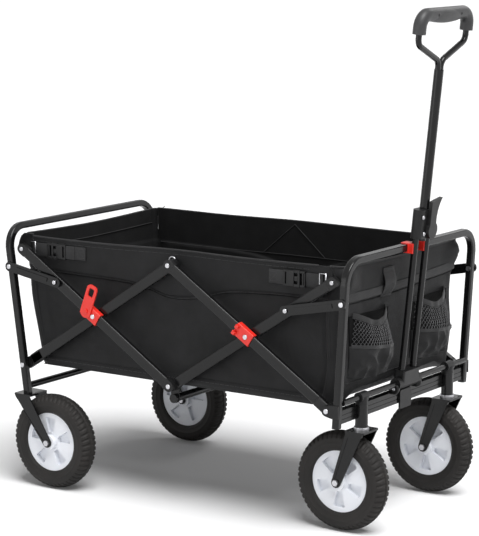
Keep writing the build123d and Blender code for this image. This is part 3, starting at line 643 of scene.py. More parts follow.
def end_point(way, face, foot, corner, seam, ear, seed):
    """Point function of the rear or front wall, across it and up it, with its rounded corners."""
    flat_half = WALL_Y - corner
    half = end_half(corner)

    def point(u, v):
        along = (2 * u - 1) * half
        across = abs(along)
        turn = min(max((across - flat_half) / corner, 0.0), math.pi / 2)
        lap = max(across - flat_half - corner * math.pi / 2, 0.0)
        y = min(across, flat_half) + corner * math.sin(turn)
        low = lower_edge(foot, y)
        signed = math.copysign(y, along)
        z = max(mix(FLOOR_Z, profile(END_RIM, signed), v), low)
        x = profile(face, z) - corner * (1 - math.cos(turn)) - lap
        x += ear * smoothstep(*EAR_Y, y) * smoothstep(*EAR_LOW, z) * (1 - smoothstep(*EAR_HIGH, z))
        band = smoothstep(-SEAM_STEP, SEAM_STEP, z - profile(seam, signed))
        hem = 1 - smoothstep(-SEAM_STEP, SEAM_STEP, z - low - HEM_H)
        flat = 1 - smoothstep(flat_half - END_CORNER_FADE, flat_half + corner, across)
        free = smoothstep(low, low + END_FOOT_FADE, z) * (1 - END_BAND_HOLD * band)
        kept = mix(CORNER_FOLDS, 1, flat)
        inward = END_INSET + END_CREASE * crease(along, z, seed) * free * kept
        inward -= END_BULGE * flat * math.sin(math.pi * v) + LAYER_T * (band + hem)
        inward += ROLL * (1 - smoothstep(0.0, ROLL_SHARE, share_at(z))) * math.sin(turn)
        x -= inward * math.cos(turn)
        y -= inward * math.sin(turn)
        return place(way * x, math.copysign(y, along), z)
    return point


def soft_side(obj):
    """Cloth that rides with the rear frame, on a mesh of its own."""
    ride(obj, "rear_frame")
    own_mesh(obj)
    return obj


def seam_heights(seam, start, length, rise=0.0):
    """Height function of a seam along a wall, raised a little."""
    return lambda u: profile(seam, start + u * length) + rise


def line_on(point, heights, offset, span=SIDE_SPAN):
    """Line on a wall at the heights of a function of the share along it, offset from its face."""
    line = []
    for share in shares(LINE_STEPS):
        u = mix(*span, share)
        line.append(point(u, share_at(heights(u))) + offset)
    return line


def lining_offset(out):
    """Step from a wall's outer face to just inside its lining."""
    return -out * (CLOTH_T + LAYER_T + LINING_GAP) * MM


def build_side_wall(name, side, rim, seed):
    """Side wall with its band seam, patch, bound rim and hem."""
    point = side_point(side, rim, seed)
    wall = grid_mesh(f"{name}_side_cloth", point, *SIDE_GRID, [CLOTH, LINING], side > 0)
    length = REAR_FACE[-1][1] + FRONT_FACE[-1][1]
    cut_sheet(wall, length, RIM_Z - FLOOR_Z, "rear_risers")
    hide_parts("tub_side_walls")
    soft_side(wall)
    rim_line = [point(RIM_END * share, 1.0) for share in shares(LINE_STEPS)]
    soft_side(tube_along(f"{name}_rim_binding", rim_line, RIM_R, WEBBING))

    out = Vector((0, side, 0))
    outer = out * LAYER_T * MM
    rear = -REAR_FACE[-1][1]
    trims = []
    for rise in (0.0, SEAM_SPREAD):
        trims.append(seam_tube(line_on(point, seam_heights(SIDE_SEAM, rear, length, rise), outer)))
    band_line = line_on(point, seam_heights(SIDE_SEAM, rear, length, SEAM_SPREAD / 2), outer)
    trims.append(stitches(f"{name}_band_stitch", band_line, out))
    trims.append(seam_tube(line_on(point, lambda u: FLOOR_Z + HEM_H + HEM_SEAM_RISE, Vector())))
    for tag, height in (("hem", FLOOR_Z + HEM_H - HEM_STITCH_DROP), ("rim", RIM_Z - RIM_STITCH_DROP)):
        trims.append(stitches(f"{name}_{tag}_stitch", line_on(point, lambda u: height, outer), out))

    inner = lining_offset(out)
    for sign in (-1, 1):
        leg = []
        for share in shares(PATCH_STEPS):
            u = (sign * PATCH_HALF * (1 - share) - rear) / length
            height = mix(PATCH_LOW, PATCH_APEX, share)
            leg.append(point(u, share_at(height)) + inner)
        trims.append(piping(leg))
    trims.append(piping(line_on(point, lambda u: PATCH_LOW, inner)))
    soft_side(join_meshes(f"{name}_side_seams", trims))


def build_end_wall(name, way, face, foot, corner, seam, ear, seed):
    """Rear or front wall with its rounded corners, band seam, bound rim and hem."""
    point = end_point(way, face, foot, corner, seam, ear, seed)
    body = f"{name}_frame"
    half = end_half(corner)
    wall = grid_mesh(f"{name}_wall_cloth", point, *END_GRID, [CLOTH, LINING], way < 0)
    cut_sheet(wall, 2 * half, RIM_Z - FLOOR_Z, "tub_side_walls")
    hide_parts(f"tub_{name}_wall")
    ride(wall, body)
    rim_line = [point(share, 1.0) for share in shares(LINE_STEPS)]
    ride(tube_along(f"{name}_wall_binding", rim_line, RIM_R, WEBBING), body)

    out = end_out(way)
    outer = out * LAYER_T * MM
    seam_line = line_on(point, seam_heights(seam, -half, 2 * half), outer, END_SEAM_SPAN)
    stitch_line = line_on(point, seam_heights(seam, -half, 2 * half, END_STITCH_RISE), outer, END_SEAM_SPAN)
    hem_line = line_on(point, lambda u: foot + HEM_H, outer, END_HEM_SPAN)
    lining = line_on(point, lambda u: RIM_Z - END_LINING_DROP, lining_offset(out), END_LINING_SPAN)
    thread = stitches(f"{name}_wall_stitch", stitch_line, out)
    trims = [seam_tube(seam_line), thread, piping(hem_line), piping(lining)]
    ride(join_meshes(f"{name}_wall_seams", trims), body)
    return point


FLOOR_SAG = 5.0
FLOOR_LIFT = 335.0
FLOOR_LAP = 2.0
FLOOR_INSET = 1.2
FLOOR_SLACK = 15.0
BOARD_STITCH_INSET = 12.0 * MM
BOARD_MARGIN = 16.0 * MM
BOARD_EDGE_R = 1.2


def build_floor():
    """Cloth-covered floor boards and the sagging cloth floor under them."""
    for name in ("rear", "front"):
        node = f"{name}_floor_board"
        low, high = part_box(node)
        margin = Vector((0, BOARD_MARGIN, 0))
        low += margin
        high -= margin
        middle = (low + high) / 2
        size = (high - low) / MM
        board = rounded_block(f"{name}_covered_board", middle, size, BOARD_EDGE_R, LINING)
        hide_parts(node)
        ride(board, f"{name}_floor")
        reach = (high - low) / 2 - Vector((BOARD_STITCH_INSET, BOARD_STITCH_INSET, 0))
        line = []
        for dx, dy in SQUARE + SQUARE[:1]:
            line.append(Vector((middle.x + dx * reach.x, middle.y + dy * reach.y, high.z)))
        ride(stitches(f"{name}_board_stitch", line, Vector((0, 0, 1))), f"{name}_floor")

    half_y = WALL_Y - ROLL - FLOOR_INSET / 2
    length = profile(REAR_FACE, FLOOR_Z) + profile(FRONT_FACE, FRONT_FOOT)

    def rounded(reach, corner, y):
        over = max(abs(y) - WALL_Y + corner, 0.0)
        return reach - FLOOR_INSET - corner + math.sqrt(corner ** 2 - over ** 2)

    def point(u, v):
        y = (2 * v - 1) * half_y
        low = lower_edge(FRONT_FOOT, y)
        rear = -rounded(profile(REAR_FACE, FLOOR_Z), REAR_CORNER, y)
        front = rounded(profile(FRONT_FACE, low), FRONT_CORNER, y)
        x = mix(rear, front, u)
        sag = FLOOR_SAG * math.sin(math.pi * u) * math.sin(math.pi * v)
        rise = (low + FLOOR_LAP - FLOOR_Z) * smoothstep(FLOOR_LIFT, front, x)
        return place(x, y, FLOOR_Z + CLOTH_T - sag + rise)

    floor = grid_mesh("floor_cloth", point, *FLOOR_GRID, [CLOTH])
    cut_sheet(floor, length + FLOOR_SLACK, 2 * half_y, "tub_side_walls")
    soft_side(floor)


# Straps, buckles and webbing

STRAP_Z = 500.0
STRAP_W = 27.0
STRAP_T = 1.6
STRAP_OFF = -1.4
BUCKLE_OFF = 0.4
STRAP_RING_W = 14.0
STRAP_RING_R = 1.4
SHORT_STEPS = 24
BUCKLE_EDGE_R = 1.0

# The strap's folded end: share of its tail, and lift in strap thicknesses
FOLD_SHARE = 0.45
FOLD_LIFT = 1.1

# Sewn box: ends from the tail, half height, and lift in strap thicknesses
BOX_ENDS = (3.0, 21.0)
BOX_HALF = 9.0
BOX_LIFT = 0.55

# Ring, buckle ends and sewn end of the rear and front straps
STRAPS = (("rear", -368.5, -328.0, -279.0, -229.0), ("front", 346.0, 308.0, 257.0, 223.0))

# Shares of the length, height offset, height and depth of a buckle's pieces, paired where they are offset
BUCKLE_PIECES = (
    (0.00, 0.10, 0.0, 31.0, 4.4), (0.00, 0.45, 13.5, 4.5, 4.8), (0.16, 0.50, 0.0, 31.0, 5.6),
    (0.50, 0.66, 0.0, 10.0, 3.4), (0.46, 0.70, 13.5, 6.0, 4.4), (0.66, 0.76, 0.0, 33.0, 5.2),
    (0.76, 1.00, 13.5, 4.5, 4.4), (0.86, 0.93, 0.0, 28.0, 4.0), (0.95, 1.00, 0.0, 31.0, 4.4),
)


def side_buckle(name, side, start, end):
    """Pieces of a side release buckle lying along X: socket, prongs and bars."""
    pieces = []
    for first, last, lift, height, depth in BUCKLE_PIECES:
        middle = mix(start, end, (first + last) / 2)
        size = (abs(end - start) * (last - first), depth, height)
        for rise in (lift, -lift) if lift else (lift,):
            centre = place(middle, side * (WALL_Y + BUCKLE_OFF), STRAP_Z + rise)
            pieces.append(rounded_block(name, centre, size, BUCKLE_EDGE_R, MOULDED))
    return pieces


def build_straps(side_name, side):
    """Corner straps on one side wall, with a buckle and a wire ring on each."""
    out = Vector((0, side, 0))
    y = side * (WALL_Y + STRAP_OFF)
    for end_name, ring, buckle_out, buckle_in, tail in STRAPS:
        name = f"{side_name}_{end_name}_strap"
        fold_end = mix(buckle_in, tail, FOLD_SHARE)
        pieces = []
        for tag, start, end, lift in (("short", ring, buckle_out, 0), ("long", buckle_in, tail, 0),
                                      ("fold", buckle_in, fold_end, FOLD_LIFT * STRAP_T)):
            line = [place(mix(start, end, share), y + side * lift, STRAP_Z) for share in shares(SHORT_STEPS)]
            pieces.append(strip_along(f"{name}_{tag}", line, STRAP_W, STRAP_T, out, WEBBING))
        inward = math.copysign(1.0, buckle_in - tail)
        near, far = [tail + inward * reach for reach in BOX_ENDS]
        box_y = y + side * STRAP_T * BOX_LIFT
        box = [(near, -1), (far, -1), (far, 1), (near, 1), (near, -1), (far, 1)]
        box_line = [place(x, box_y, STRAP_Z + way * BOX_HALF) for x, way in box]
        pieces.append(stitches(f"{name}_box_stitch", box_line, out))
        pieces += side_buckle(f"{name}_buckle", side, buckle_in, buckle_out)
        ring_half = STRAP_W / 2 + STRAP_RING_R
        loop = [place(ring + dx * STRAP_RING_W / 2, y, STRAP_Z + dz * ring_half) for dx, dz in SQUARE]
        pieces.append(tube_along(f"{name}_ring", loop, STRAP_RING_R, STEEL, closed=True, normal=out))
        ride(join_meshes(name, pieces), f"{end_name}_frame")


LOOP_Y = -58.0
LOOP_W = 42.0
LOOP_LOW = 456.0
LOOP_HIGH = 516.0
LOOP_BOW = 6.0
LOOP_OFF = 1.6
LOOP_SEWN = 0.15
TAPE_RISE = 14.0
TAPE_W = 17.0
TAPE_T = 0.8
TAPE_SPAN = (0.07, 0.93)

# Zigzag on the loop: half width and middle in loop widths, lift in strap thicknesses
ZIGZAG_HALF = 0.12
ZIGZAG_MIDDLE = 0.26
ZIGZAG_LIFT = 0.6


def front_at(front_point, y, height):
    """Point of the front wall by its distance across and its height."""
    return front_point(0.5 + y / (2 * end_half(FRONT_CORNER)), share_at(height))


def build_front_webbing(front_point):
    """Webbing loop sewn to the band of the front wall, and the tape along that band."""
    out = end_out(1)
    half = end_half(FRONT_CORNER)
    line = []
    for share in shares(SHORT_STEPS):
        bow = LOOP_BOW * math.sin(math.pi * clamp((share - LOOP_SEWN) / (1 - 2 * LOOP_SEWN)))
        height = mix(LOOP_LOW, LOOP_HIGH, share)
        line.append(front_at(front_point, LOOP_Y, height) + out * (LOOP_OFF + bow) * MM)
    loop = strip_along("front_webbing_loop", line, LOOP_W, STRAP_T, out, WEBBING)
    zigzag = []
    for index, centre in enumerate(line):
        shift = (-1) ** index * LOOP_W * ZIGZAG_HALF + LOOP_W * ZIGZAG_MIDDLE
        zigzag.append(centre + out * STRAP_T * MM * ZIGZAG_LIFT + Vector((0, shift * MM, 0)))
    thread = stitches("front_loop_zigzag", zigzag, out)
    ride(join_meshes("front_loop", [loop, thread]), "front_frame")
    heights = seam_heights(FRONT_SEAM, -half, 2 * half, TAPE_RISE)
    tape_line = line_on(front_point, heights, out * LAYER_T * MM, TAPE_SPAN)
    tape = strip_along("front_band_tape", tape_line, TAPE_W, TAPE_T, out, WEBBING)
    ride(tape, "front_frame")


# Gussets from the rear corners to the bar ends, and rings at the middle pivots
GUSSET_WALL = ((530, -366), (520, -371), (510, -373), (500, -374), (490, -374))
GUSSET_BAR = ((536, -372), (529, -381), (519, -386), (508, -389), (497, -388))
GUSSET_Y = (225.0, 248.0)
GUSSET_BOW = 1.4
GUSSET_GRID = (14, 20)
GUSSET_FLAT = (27.0, 45.0)
HANGER = (-6.0, 229.3, 508.0)
HANGER_R = 8.0
HANGER_WIRE = 1.2


def build_corner_gusset(side_name, side):
    """Cloth gusset at one rear corner."""
    def point(u, v):
        along = (len(GUSSET_BAR) - 1) * (1 - v)
        index = min(int(along), len(GUSSET_BAR) - 2)
        share = along - index
        ends = []
        for line in (GUSSET_WALL, GUSSET_BAR):
            ends.append([mix(low, high, share) for low, high in zip(line[index], line[index + 1])])
        z, x = [mix(wall, bar, u) for wall, bar in zip(*ends)]
        y = mix(*GUSSET_Y, u ** GUSSET_BOW)
        return place(x, side * y, z)

    gusset = grid_mesh(f"{side_name}_corner_gusset", point, *GUSSET_GRID, [CLOTH], side > 0)
    cut_sheet(gusset, *GUSSET_FLAT, "rear_faller_ends")
    ride(gusset, "rear_frame")


def build_hanger_ring(side_name, side):
    """Small ring at the middle pivot of one side."""
    x, y, z = HANGER
    ring = circle(place(x, side * y, z), Vector((1, 0, 0)), Vector((0, 0, 1)), HANGER_R, SHORT_STEPS)
    across = Vector((0, 1, 0))
    hanger = tube_along(f"{side_name}_hanger_ring", ring, HANGER_WIRE, STEEL, closed=True, normal=across)
    ride(hanger, "rear_risers")


# Front pockets

POCKET_Y = 118.0
POCKET_HALF = 79.0
POCKET_LOW = 303.0
POCKET_TOP = 432.0
POCKET_OUT = 27.0
POCKET_RIM_DIP = 19.0
POCKET_CRUMPLE = 11.0
POCKET_FOLDS = 7.0
POCKET_GATHER = 1.1
POCKET_GRID = (72, 34)
POCKET_STEPS = 60
# Sheet of painted shade inside a pouch: grid, share of the pouch's width, rise above its foot and step off
# the wall
SHADE_SHEET_GRID = (40, 30)
SHADE_SHEET_SHARE = 0.96
SHADE_SHEET_RISE = 12.0
SHADE_SHEET_OFF = 1.6
NET_COLUMNS = 20
NET_ROWS = 12
NET_STRAND = 1.1
ELASTIC_W = 11.0
ELASTIC_T = 2.0
POCKET_TAPE_W = 7.0
POCKET_TAPE_T = 1.0
POCKET_TAPE_SPAN = (0.02, 0.98)

# Shape of a pouch; each span is in shares of its height
NARROW = 0.20
NARROW_SPAN = (0.45, 1.0)
BELLY_POWER = 2.6
FOOT_DEPTH = 0.30
DEPTH_SPAN = (0.0, 0.40)
DRAW_IN = 0.30
DRAW_SPAN = (0.5, 1.0)
PLEAT = 0.9
PLEAT_TURNS = 9.0
PLEAT_SPAN = (0.4, 0.9)
CRUMPLE_RATE = (0.030, 0.024)
CRUMPLE_SKEW = 0.3
CRUMPLE_SPAN = (0.3, 0.6)
CRUMPLE_SEED = 0.05
FOLD_SEED = 0.04
DIP_POWER = 1.5
DIP_SPAN = (0.55, 1.0)
FOOT_RAISE = 8.0
FOOT_SPAN = (0.0, 0.3)

# Height of the seam between net and cloth at the near and far end of each pocket
POCKET_SEAMS = {"right": (374.0, 356.0), "left": (369.0, 354.0)}


def pocket_point(y_mid, front_point):
    """Point function of a pouch that bulges from the front wall, over a width share and a height."""
    def point(u, z):
        v = (z - POCKET_LOW) / (POCKET_TOP - POCKET_LOW)
        y = y_mid + (2 * u - 1) * POCKET_HALF * (1 - NARROW * smoothstep(*NARROW_SPAN, v))
        belly = 1 - abs(2 * u - 1) ** BELLY_POWER
        filled = mix(FOOT_DEPTH, 1, smoothstep(*DEPTH_SPAN, v))
        depth = POCKET_OUT * filled * (1 - DRAW_IN * smoothstep(*DRAW_SPAN, v))
        pleat = PLEAT * math.sin(PLEAT_TURNS * math.pi * u) * smoothstep(*PLEAT_SPAN, v)
        crumple = ridge(y * CRUMPLE_RATE[0], z * CRUMPLE_RATE[1] + CRUMPLE_SKEW * u, y_mid * CRUMPLE_SEED)
        folds = POCKET_FOLDS * (crease(y, z, y_mid * FOLD_SEED) - 0.5)
        folds += POCKET_CRUMPLE * crumple * (1 - smoothstep(*CRUMPLE_SPAN, v))
        dip = POCKET_RIM_DIP * math.sin(math.pi * u) ** DIP_POWER * smoothstep(*DIP_SPAN, v)
        foot = FOOT_RAISE * (1 - math.sin(math.pi * u)) * (1 - smoothstep(*FOOT_SPAN, v))
        wall = front_at(front_point, y, z)
        return wall + Vector((LAYER_T + belly * (depth + pleat + folds), 0, foot - dip)) * MM
    return point


def pocket_net(name, point, seam):
    """Net of a pouch, from its seam to its top edge."""
    verts = []
    faces = []
    wide = NET_COLUMNS + 1
    for row in range(NET_ROWS + 1):
        for column in range(wide):
            u = clamp((column + 0.5 * (row % 2)) / NET_COLUMNS)
            verts.append(point(u, mix(seam(u), POCKET_TOP, row / NET_ROWS)))
    for row in range(0, NET_ROWS - 1, 2):
        for column in range(1, NET_COLUMNS):
            a = row * wide + column
            faces.append((a, a + wide, a + 2 * wide, a + wide - 1))
    net = mesh_object(f"{name}_pocket_net", verts, faces, [NET], False)
    strands = net.modifiers.new("strands", "WIREFRAME")
    strands.thickness = NET_STRAND * MM
    strands.use_replace = True
    return apply_modifiers(net)


def build_pocket(name, y_mid, front_point):
    """Pouch: cloth below, net above, elastic edge at the top, and a near-black sheet of painted shade inside
    it.
    """
    point = pocket_point(y_mid, front_point)
    near, far = POCKET_SEAMS[name]

    def seam(u):
        return mix(near, far, u)

    def cloth_point(u, v):
        return point(u, mix(POCKET_LOW, seam(u), v))

    lower = grid_mesh(f"{name}_pocket_cloth", cloth_point, *POCKET_GRID, [CLOTH])
    cut_sheet(lower, 2 * POCKET_GATHER * POCKET_HALF, near - POCKET_LOW, "tub_front_wall", "gathered")
    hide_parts("front_pockets")
    net = pocket_net(name, point, seam)

    # Near-black sheet just off the wall behind the net: painted shade for the pouch's shaded inside
    def shade_sheet_point(u, v):
        y = y_mid + (2 * u - 1) * POCKET_HALF * SHADE_SHEET_SHARE
        height = mix(POCKET_LOW + SHADE_SHEET_RISE, POCKET_TOP, v)
        return front_at(front_point, y, height) + Vector((SHADE_SHEET_OFF * MM, 0, 0))

    shade_sheet = grid_mesh(f"{name}_pocket_shade_sheet", shade_sheet_point, *SHADE_SHEET_GRID, [POCKET_SHADE])
    cut_sheet(shade_sheet, 2 * POCKET_HALF, POCKET_TOP - POCKET_LOW, "tub_front_wall")

    out = Vector((1, 0, 0))
    edge_line = [point(share, POCKET_TOP) for share in shares(POCKET_STEPS)]
    edge = strip_along(f"{name}_pocket_elastic", edge_line, ELASTIC_W, ELASTIC_T, out, WEBBING)
    seam_line = []
    for share in shares(POCKET_STEPS):
        u = mix(*POCKET_TAPE_SPAN, share)
        seam_line.append(point(u, seam(u)) + out * LAYER_T * MM)
    tape = strip_along(f"{name}_pocket_tape", seam_line, POCKET_TAPE_W, POCKET_TAPE_T, out, WEBBING)
    for piece in (lower, net, shade_sheet, edge, tape):
        ride(piece, "front_frame")


# Treaded tyres: radius and half width round the outside, in millimetres

TYRE_PROFILE = (
    (61.8, 16.5), (64.0, 18.5), (66.0, 19.8), (67.0, 20.9), (68.4, 20.9), (69.4, 20.8), (73.0, 22.0),
    (76.0, 22.4), (77.0, 23.0), (78.4, 23.0), (79.4, 22.4), (83.0, 22.4), (86.5, 21.9), (88.5, 21.2),
    (90.2, 20.4), (92.0, 19.2), (93.8, 17.6), (95.4, 15.4), (96.7, 12.8), (97.8, 10.0), (98.6, 7.4),
    (99.2, 5.0), (99.6, 2.8), (99.8, 0.9),
)
TREAD_BLOCKS = 52
TREAD_STEPS = 10
TREAD_DEPTH = 2.2
TREAD_START = (88.6, 90.4)
TREAD_PULL = 0.35

# Middle rib, the groove beside it and the rib's zigzag, in millimetres
RIB_HALF = 2.6
RIB_GROOVE = 5.4
RIB_ZIGZAG = 2.0

# Gap between shoulder blocks: slant per millimetre, and shares of a block where it opens and closes
GAP_SLANT = 0.022
GAP_OPEN = (0.56, 0.64)
GAP_CLOSE = (0.92, 1.0)


def tread_depth(turn, radius, y):
    """Depth of the tread: shoulder blocks with slanted gaps and a zigzag rib in the middle."""
    phase = turn * TREAD_BLOCKS
    zigzag = abs((phase % 1.0) - 0.5) * 2
    across = abs(y)
    shoulder = smoothstep(*TREAD_START, radius)
    if across < RIB_HALF + RIB_ZIGZAG * zigzag:
        return 0.0
    if across < RIB_GROOVE + RIB_ZIGZAG * zigzag:
        return TREAD_DEPTH
    slant = (phase + (0.5 if y > 0 else 0.0) + across * GAP_SLANT) % 1.0
    return TREAD_DEPTH * shoulder * smoothstep(*GAP_OPEN, slant) * (1 - smoothstep(*GAP_CLOSE, slant))


def tyre_mesh():
    """Points and faces of a treaded tyre about the Y axis."""
    outline = list(TYRE_PROFILE) + [(radius, -y) for radius, y in reversed(TYRE_PROFILE)]
    steps = TREAD_BLOCKS * TREAD_STEPS
    verts = []
    for index in range(steps):
        turn = index / steps
        angle = 2 * math.pi * turn
        for radius, y in outline:
            depth = tread_depth(turn, radius, y)
            reach = (radius - depth) * MM
            side_y = (y - math.copysign(depth * TREAD_PULL, y)) * MM
            verts.append(Vector((reach * math.cos(angle), side_y, reach * math.sin(angle))))
    faces = [(a, d, c, b) for a, b, c, d in ring_faces(steps, len(outline), True)]
    return verts, faces


def build_tyres():
    """Treaded tyres in place of the plain ones."""
    verts, faces = tyre_mesh()
    for end in ("rear", "front"):
        for side in ("left", "right"):
            node = f"{end}_{side}_tyre"
            low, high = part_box(node)
            centre = (low + high) / 2
            tyre = mesh_object(f"{node}_treaded", [centre + vert for vert in verts], faces, [RUBBER])
            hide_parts(node)
            ride(tyre, f"{end}_{side}_wheel")


# Small fastenings of the handle and the linkage

HANDLE_LEAN = math.radians(5.9)
HINGE = (402.0, 272.0)
COLLAR_FRONT = 11.8
COLLAR_BOLTS = ((-22.0, 338.0), (-13.0, 304.0))
GRIP_R = 13.0
GRIP_SCREW_Y = 45.0
LINK_HALF = 376.0
PIVOT_Z = 256.0
UPPER_Z = 502.0
INNER_FACE = 242.1
STRUT_FACE = 262.2
OUTER_FACE = 254.2
FOOT_BOSS_DROP = 9.0
FOOT_BOLT_SEAT = 3.5
GRIP_SCREW_SINK = 0.4
STRUT_BAR_POINT = (283.4, 441.4)
BOOT_EDGE_R = 3.0

# Distance out and radius round a boss of the handle's foot
FOOT_BOSS = ((-2.0, 11.0), (3.5, 11.0), (5.0, 9.5), (5.0, 5.5), (4.0, 4.95))

# Radius and height of the screw heads, and shares of both from seat to recess
COLLAR_BOLT = (4.2, 2.6)
FOOT_BOLT = (3.6, 2.4)
GRIP_SCREW = (3.0, 0.8)
RIVET = (4.4, 2.0)
HEAD_SHAPE = ((1.0, 0.0), (1.0, 0.55), (0.8, 0.9), (0.45, 1.0), (0.4, 0.55))

# Boots of the rising bars: reach along the bar, length, depth, thickness and middle in Y
FRONT_BOOT = (18.5, 27.0, 22.0, 13.0, 249.6)
REAR_BOOT = (32.0, 33.0, 24.0, 11.8, 236.2)


def screw(name, centre, axis, head, body, material=STEEL):
    """Pan head screw or rivet with a recess."""
    outline = [(head[1] * rise, head[0] * spread) for spread, rise in HEAD_SHAPE]
    ride(lathe_along(name, centre, axis, outline, material), body)


def handle_point(along, forward, y):
    """Point by its distance up the handle's axis, forward of it and across."""
    x = HINGE[0] + along * math.sin(HANDLE_LEAN) + forward * math.cos(HANDLE_LEAN)
    z = HINGE[1] + along * math.cos(HANDLE_LEAN) - forward * math.sin(HANDLE_LEAN)
    return place(x, y, z)


def build_handle_screws():
    """Collar bolts, foot bolts and grip screws."""
    front = Vector((math.cos(HANDLE_LEAN), 0, -math.sin(HANDLE_LEAN)))
    for index, (y, along) in enumerate(COLLAR_BOLTS):
        seat = handle_point(along, COLLAR_FRONT, y)
        screw(f"collar_bolt_{index}", seat, front, COLLAR_BOLT, "handle")
    foot_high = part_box("handle_foot")[1]
    grip_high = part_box("handle_grip")[1]
    grip_along = (grip_high.z / MM - HINGE[1]) / math.cos(HANDLE_LEAN) - GRIP_R
    for name, side in (("right", -1), ("left", 1)):
        out = Vector((0, side, 0))
        centre = handle_point(-FOOT_BOSS_DROP, 0, 0)
        centre.y = side * foot_high.y
        ride(lathe_along(f"{name}_foot_boss", centre, out, FOOT_BOSS, MOULDED), "handle")
        screw(f"{name}_foot_bolt", centre + out * FOOT_BOLT_SEAT * MM, out, FOOT_BOLT, "handle")
        centre = handle_point(grip_along, GRIP_R - GRIP_SCREW_SINK, side * GRIP_SCREW_Y)
        screw(f"{name}_grip_screw", centre, front, GRIP_SCREW, "handle_top", MOULDED)


def build_link_fittings(name, side):
    """Rivet heads of the bars and struts, and boots of the rising bars, on one side."""
    out = Vector((0, side, 0))
    for end, way, face in (("rear", -1, OUTER_FACE), ("front", 1, INNER_FACE)):
        centre = place(way * LINK_HALF, side * face, UPPER_Z)
        screw(f"{name}_{end}_end_rivet", centre, out, RIVET, f"{end}_fallers")
    for end, way in (("rear", -1), ("front", 1)):
        centre = place(way * STRUT_BAR_POINT[0], side * STRUT_FACE, STRUT_BAR_POINT[1])
        screw(f"{name}_{end}_strut_rivet", centre, out, RIVET, f"{end}_struts")
    slope = math.atan2(UPPER_Z - PIVOT_Z, LINK_HALF)
    for end, way, boot in (("rear", -1, REAR_BOOT), ("front", 1, FRONT_BOOT)):
        along, length, depth, thickness, y = boot
        x = way * (LINK_HALF - along * math.cos(slope))
        z = PIVOT_Z + along * math.sin(slope)
        size = (length, thickness, depth)
        block = rounded_block(f"{name}_{end}_boot", place(x, side * y, z), size, BOOT_EDGE_R, MOULDED,
                              way * slope)
        ride(block, f"{end}_risers")


# Stage: floor, light and camera

AZIMUTH = math.radians(34.21)
ELEVATION = math.radians(9.54)
DISTANCE = 4.523
AIM = (0.25, 0.0, 462.0)
FOCAL_PX = 2170.1
IMAGE_H = 536
SENSOR = 36.0
VIEW_END = 60.0
FLOOR_SIZE = 30.0
FLOOR_DARK = (0.855, 0.855, 0.86)
FLOOR_LIGHT = (0.865, 0.865, 0.87)
FLOOR_GLOW = 0.03
WORLD_SEEN = 1.0
WORLD_LIGHT = 0.21
WORLD_GLOSS = 0.7
SUN_FROM = (0.40, -0.22, 0.87)
SUN_STRENGTH = 3.75
SUN_ANGLE = math.radians(40)
LIGHT_AIM = (0.1, 0.0, 0.4)

# Place, size and power of the soft boxes at the handle end, the near side and behind
SOFT_BOXES = (
    ("end_light", (2.1, 3.1, 0.8), 2.5, 8.0), ("near_light", (-1.0, -3.9, 0.7), 2.5, 26.0),
    ("back_light", (0.2, 2.9, 2.4), 1.2, 12.0),
)


def floor_material():
    """White floor that keeps the shadow and meets the white background."""
    material, tree, shader = material_base("floor_white", FLOOR_LIGHT, roughness=0.9, specular=0.0)
    patchy_color(tree, shader, FLOOR_DARK, FLOOR_LIGHT, scale=0.4)
    paths = tree.nodes.new("ShaderNodeLightPath")
    glow = tree.nodes.new("ShaderNodeEmission")
    strength = math_node(tree, "MULTIPLY", paths.outputs["Is Camera Ray"], FLOOR_GLOW)
    tree.links.new(strength, glow.inputs["Strength"])
    both = tree.nodes.new("ShaderNodeAddShader")
    tree.links.new(shader.outputs["BSDF"], both.inputs[0])
    tree.links.new(glow.outputs["Emission"], both.inputs[1])
    tree.links.new(both.outputs["Shader"], tree.nodes["Material Output"].inputs["Surface"])
    return material


def build_world():
    """Surroundings, white to the camera and dimmer in reflections and as light."""
    world = bpy.data.worlds.new("studio")
    bpy.context.scene.world = world
    world.use_nodes = True
    tree = world.node_tree
    background = tree.nodes["Background"]
    background.inputs["Color"].default_value = (1.0, 1.0, 1.0, 1.0)
    paths = tree.nodes.new("ShaderNodeLightPath")
    gloss = math_node(tree, "MULTIPLY", paths.outputs["Is Glossy Ray"], WORLD_GLOSS)
    seen = math_node(tree, "MAXIMUM", paths.outputs["Is Camera Ray"], gloss)
    tree.links.new(range_node(tree, seen, WORLD_LIGHT, WORLD_SEEN), background.inputs["Strength"])


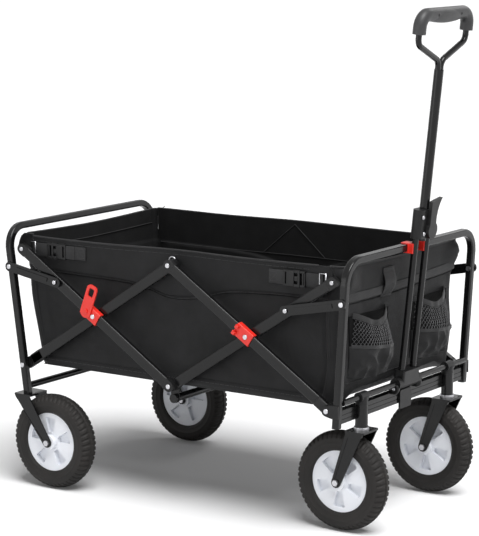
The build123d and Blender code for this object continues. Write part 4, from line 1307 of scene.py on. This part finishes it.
def aim(obj, direction):
    """Turns a light or camera to look along a direction."""
    obj.rotation_euler = direction.to_track_quat("-Z", "Y").to_euler()


def build_stage():
    """Pale floor, soft light and a camera at the photograph's angle."""
    scene = bpy.context.scene
    scene.view_settings.view_transform = "Standard"
    build_world()
    corners = [(x * FLOOR_SIZE, y * FLOOR_SIZE, 0) for x, y in SQUARE]
    mesh_object("floor", corners, [(0, 1, 2, 3)], [floor_material()], False)

    sun = bpy.data.lights.new("sun", "SUN")
    sun.energy = SUN_STRENGTH
    sun.angle = SUN_ANGLE
    aim(new_object("sun", sun), -Vector(SUN_FROM))
    for name, location, size, power in SOFT_BOXES:
        soft = bpy.data.lights.new(name, "AREA")
        soft.shape = "SQUARE"
        soft.size = size
        soft.energy = power
        box = new_object(name, soft)
        box.location = location
        box.visible_camera = False
        aim(box, Vector(LIGHT_AIM) - Vector(location))

    lens = bpy.data.cameras.new("camera")
    lens.sensor_width = SENSOR
    lens.lens = SENSOR * FOCAL_PX / IMAGE_H
    lens.clip_end = VIEW_END
    camera = new_object("camera", lens)
    flat = math.cos(ELEVATION)
    offset = Vector((math.sin(AZIMUTH) * flat, -math.cos(AZIMUTH) * flat, math.sin(ELEVATION))) * DISTANCE
    camera.location = place(*AIM) + offset
    aim(camera, -offset)
    scene.camera = camera


build_stage()
front_wall = build_end_wall("front", 1, FRONT_FACE, FRONT_FOOT, FRONT_CORNER, FRONT_SEAM, EAR, 47.0)
build_end_wall("rear", -1, REAR_FACE, REAR_FOOT, REAR_CORNER, REAR_SEAM, 0.0, 31.0)
build_floor()
for side_name, side_sign, rim, seed in (("left", 1, LEFT_RIM, 11.0), ("right", -1, RIGHT_RIM, 23.0)):
    build_side_wall(side_name, side_sign, rim, seed)
    build_straps(side_name, side_sign)
    build_corner_gusset(side_name, side_sign)
    build_hanger_ring(side_name, side_sign)
    build_pocket(side_name, side_sign * POCKET_Y, front_wall)
    build_link_fittings(side_name, side_sign)
build_front_webbing(front_wall)
build_tyres()
build_handle_screws()
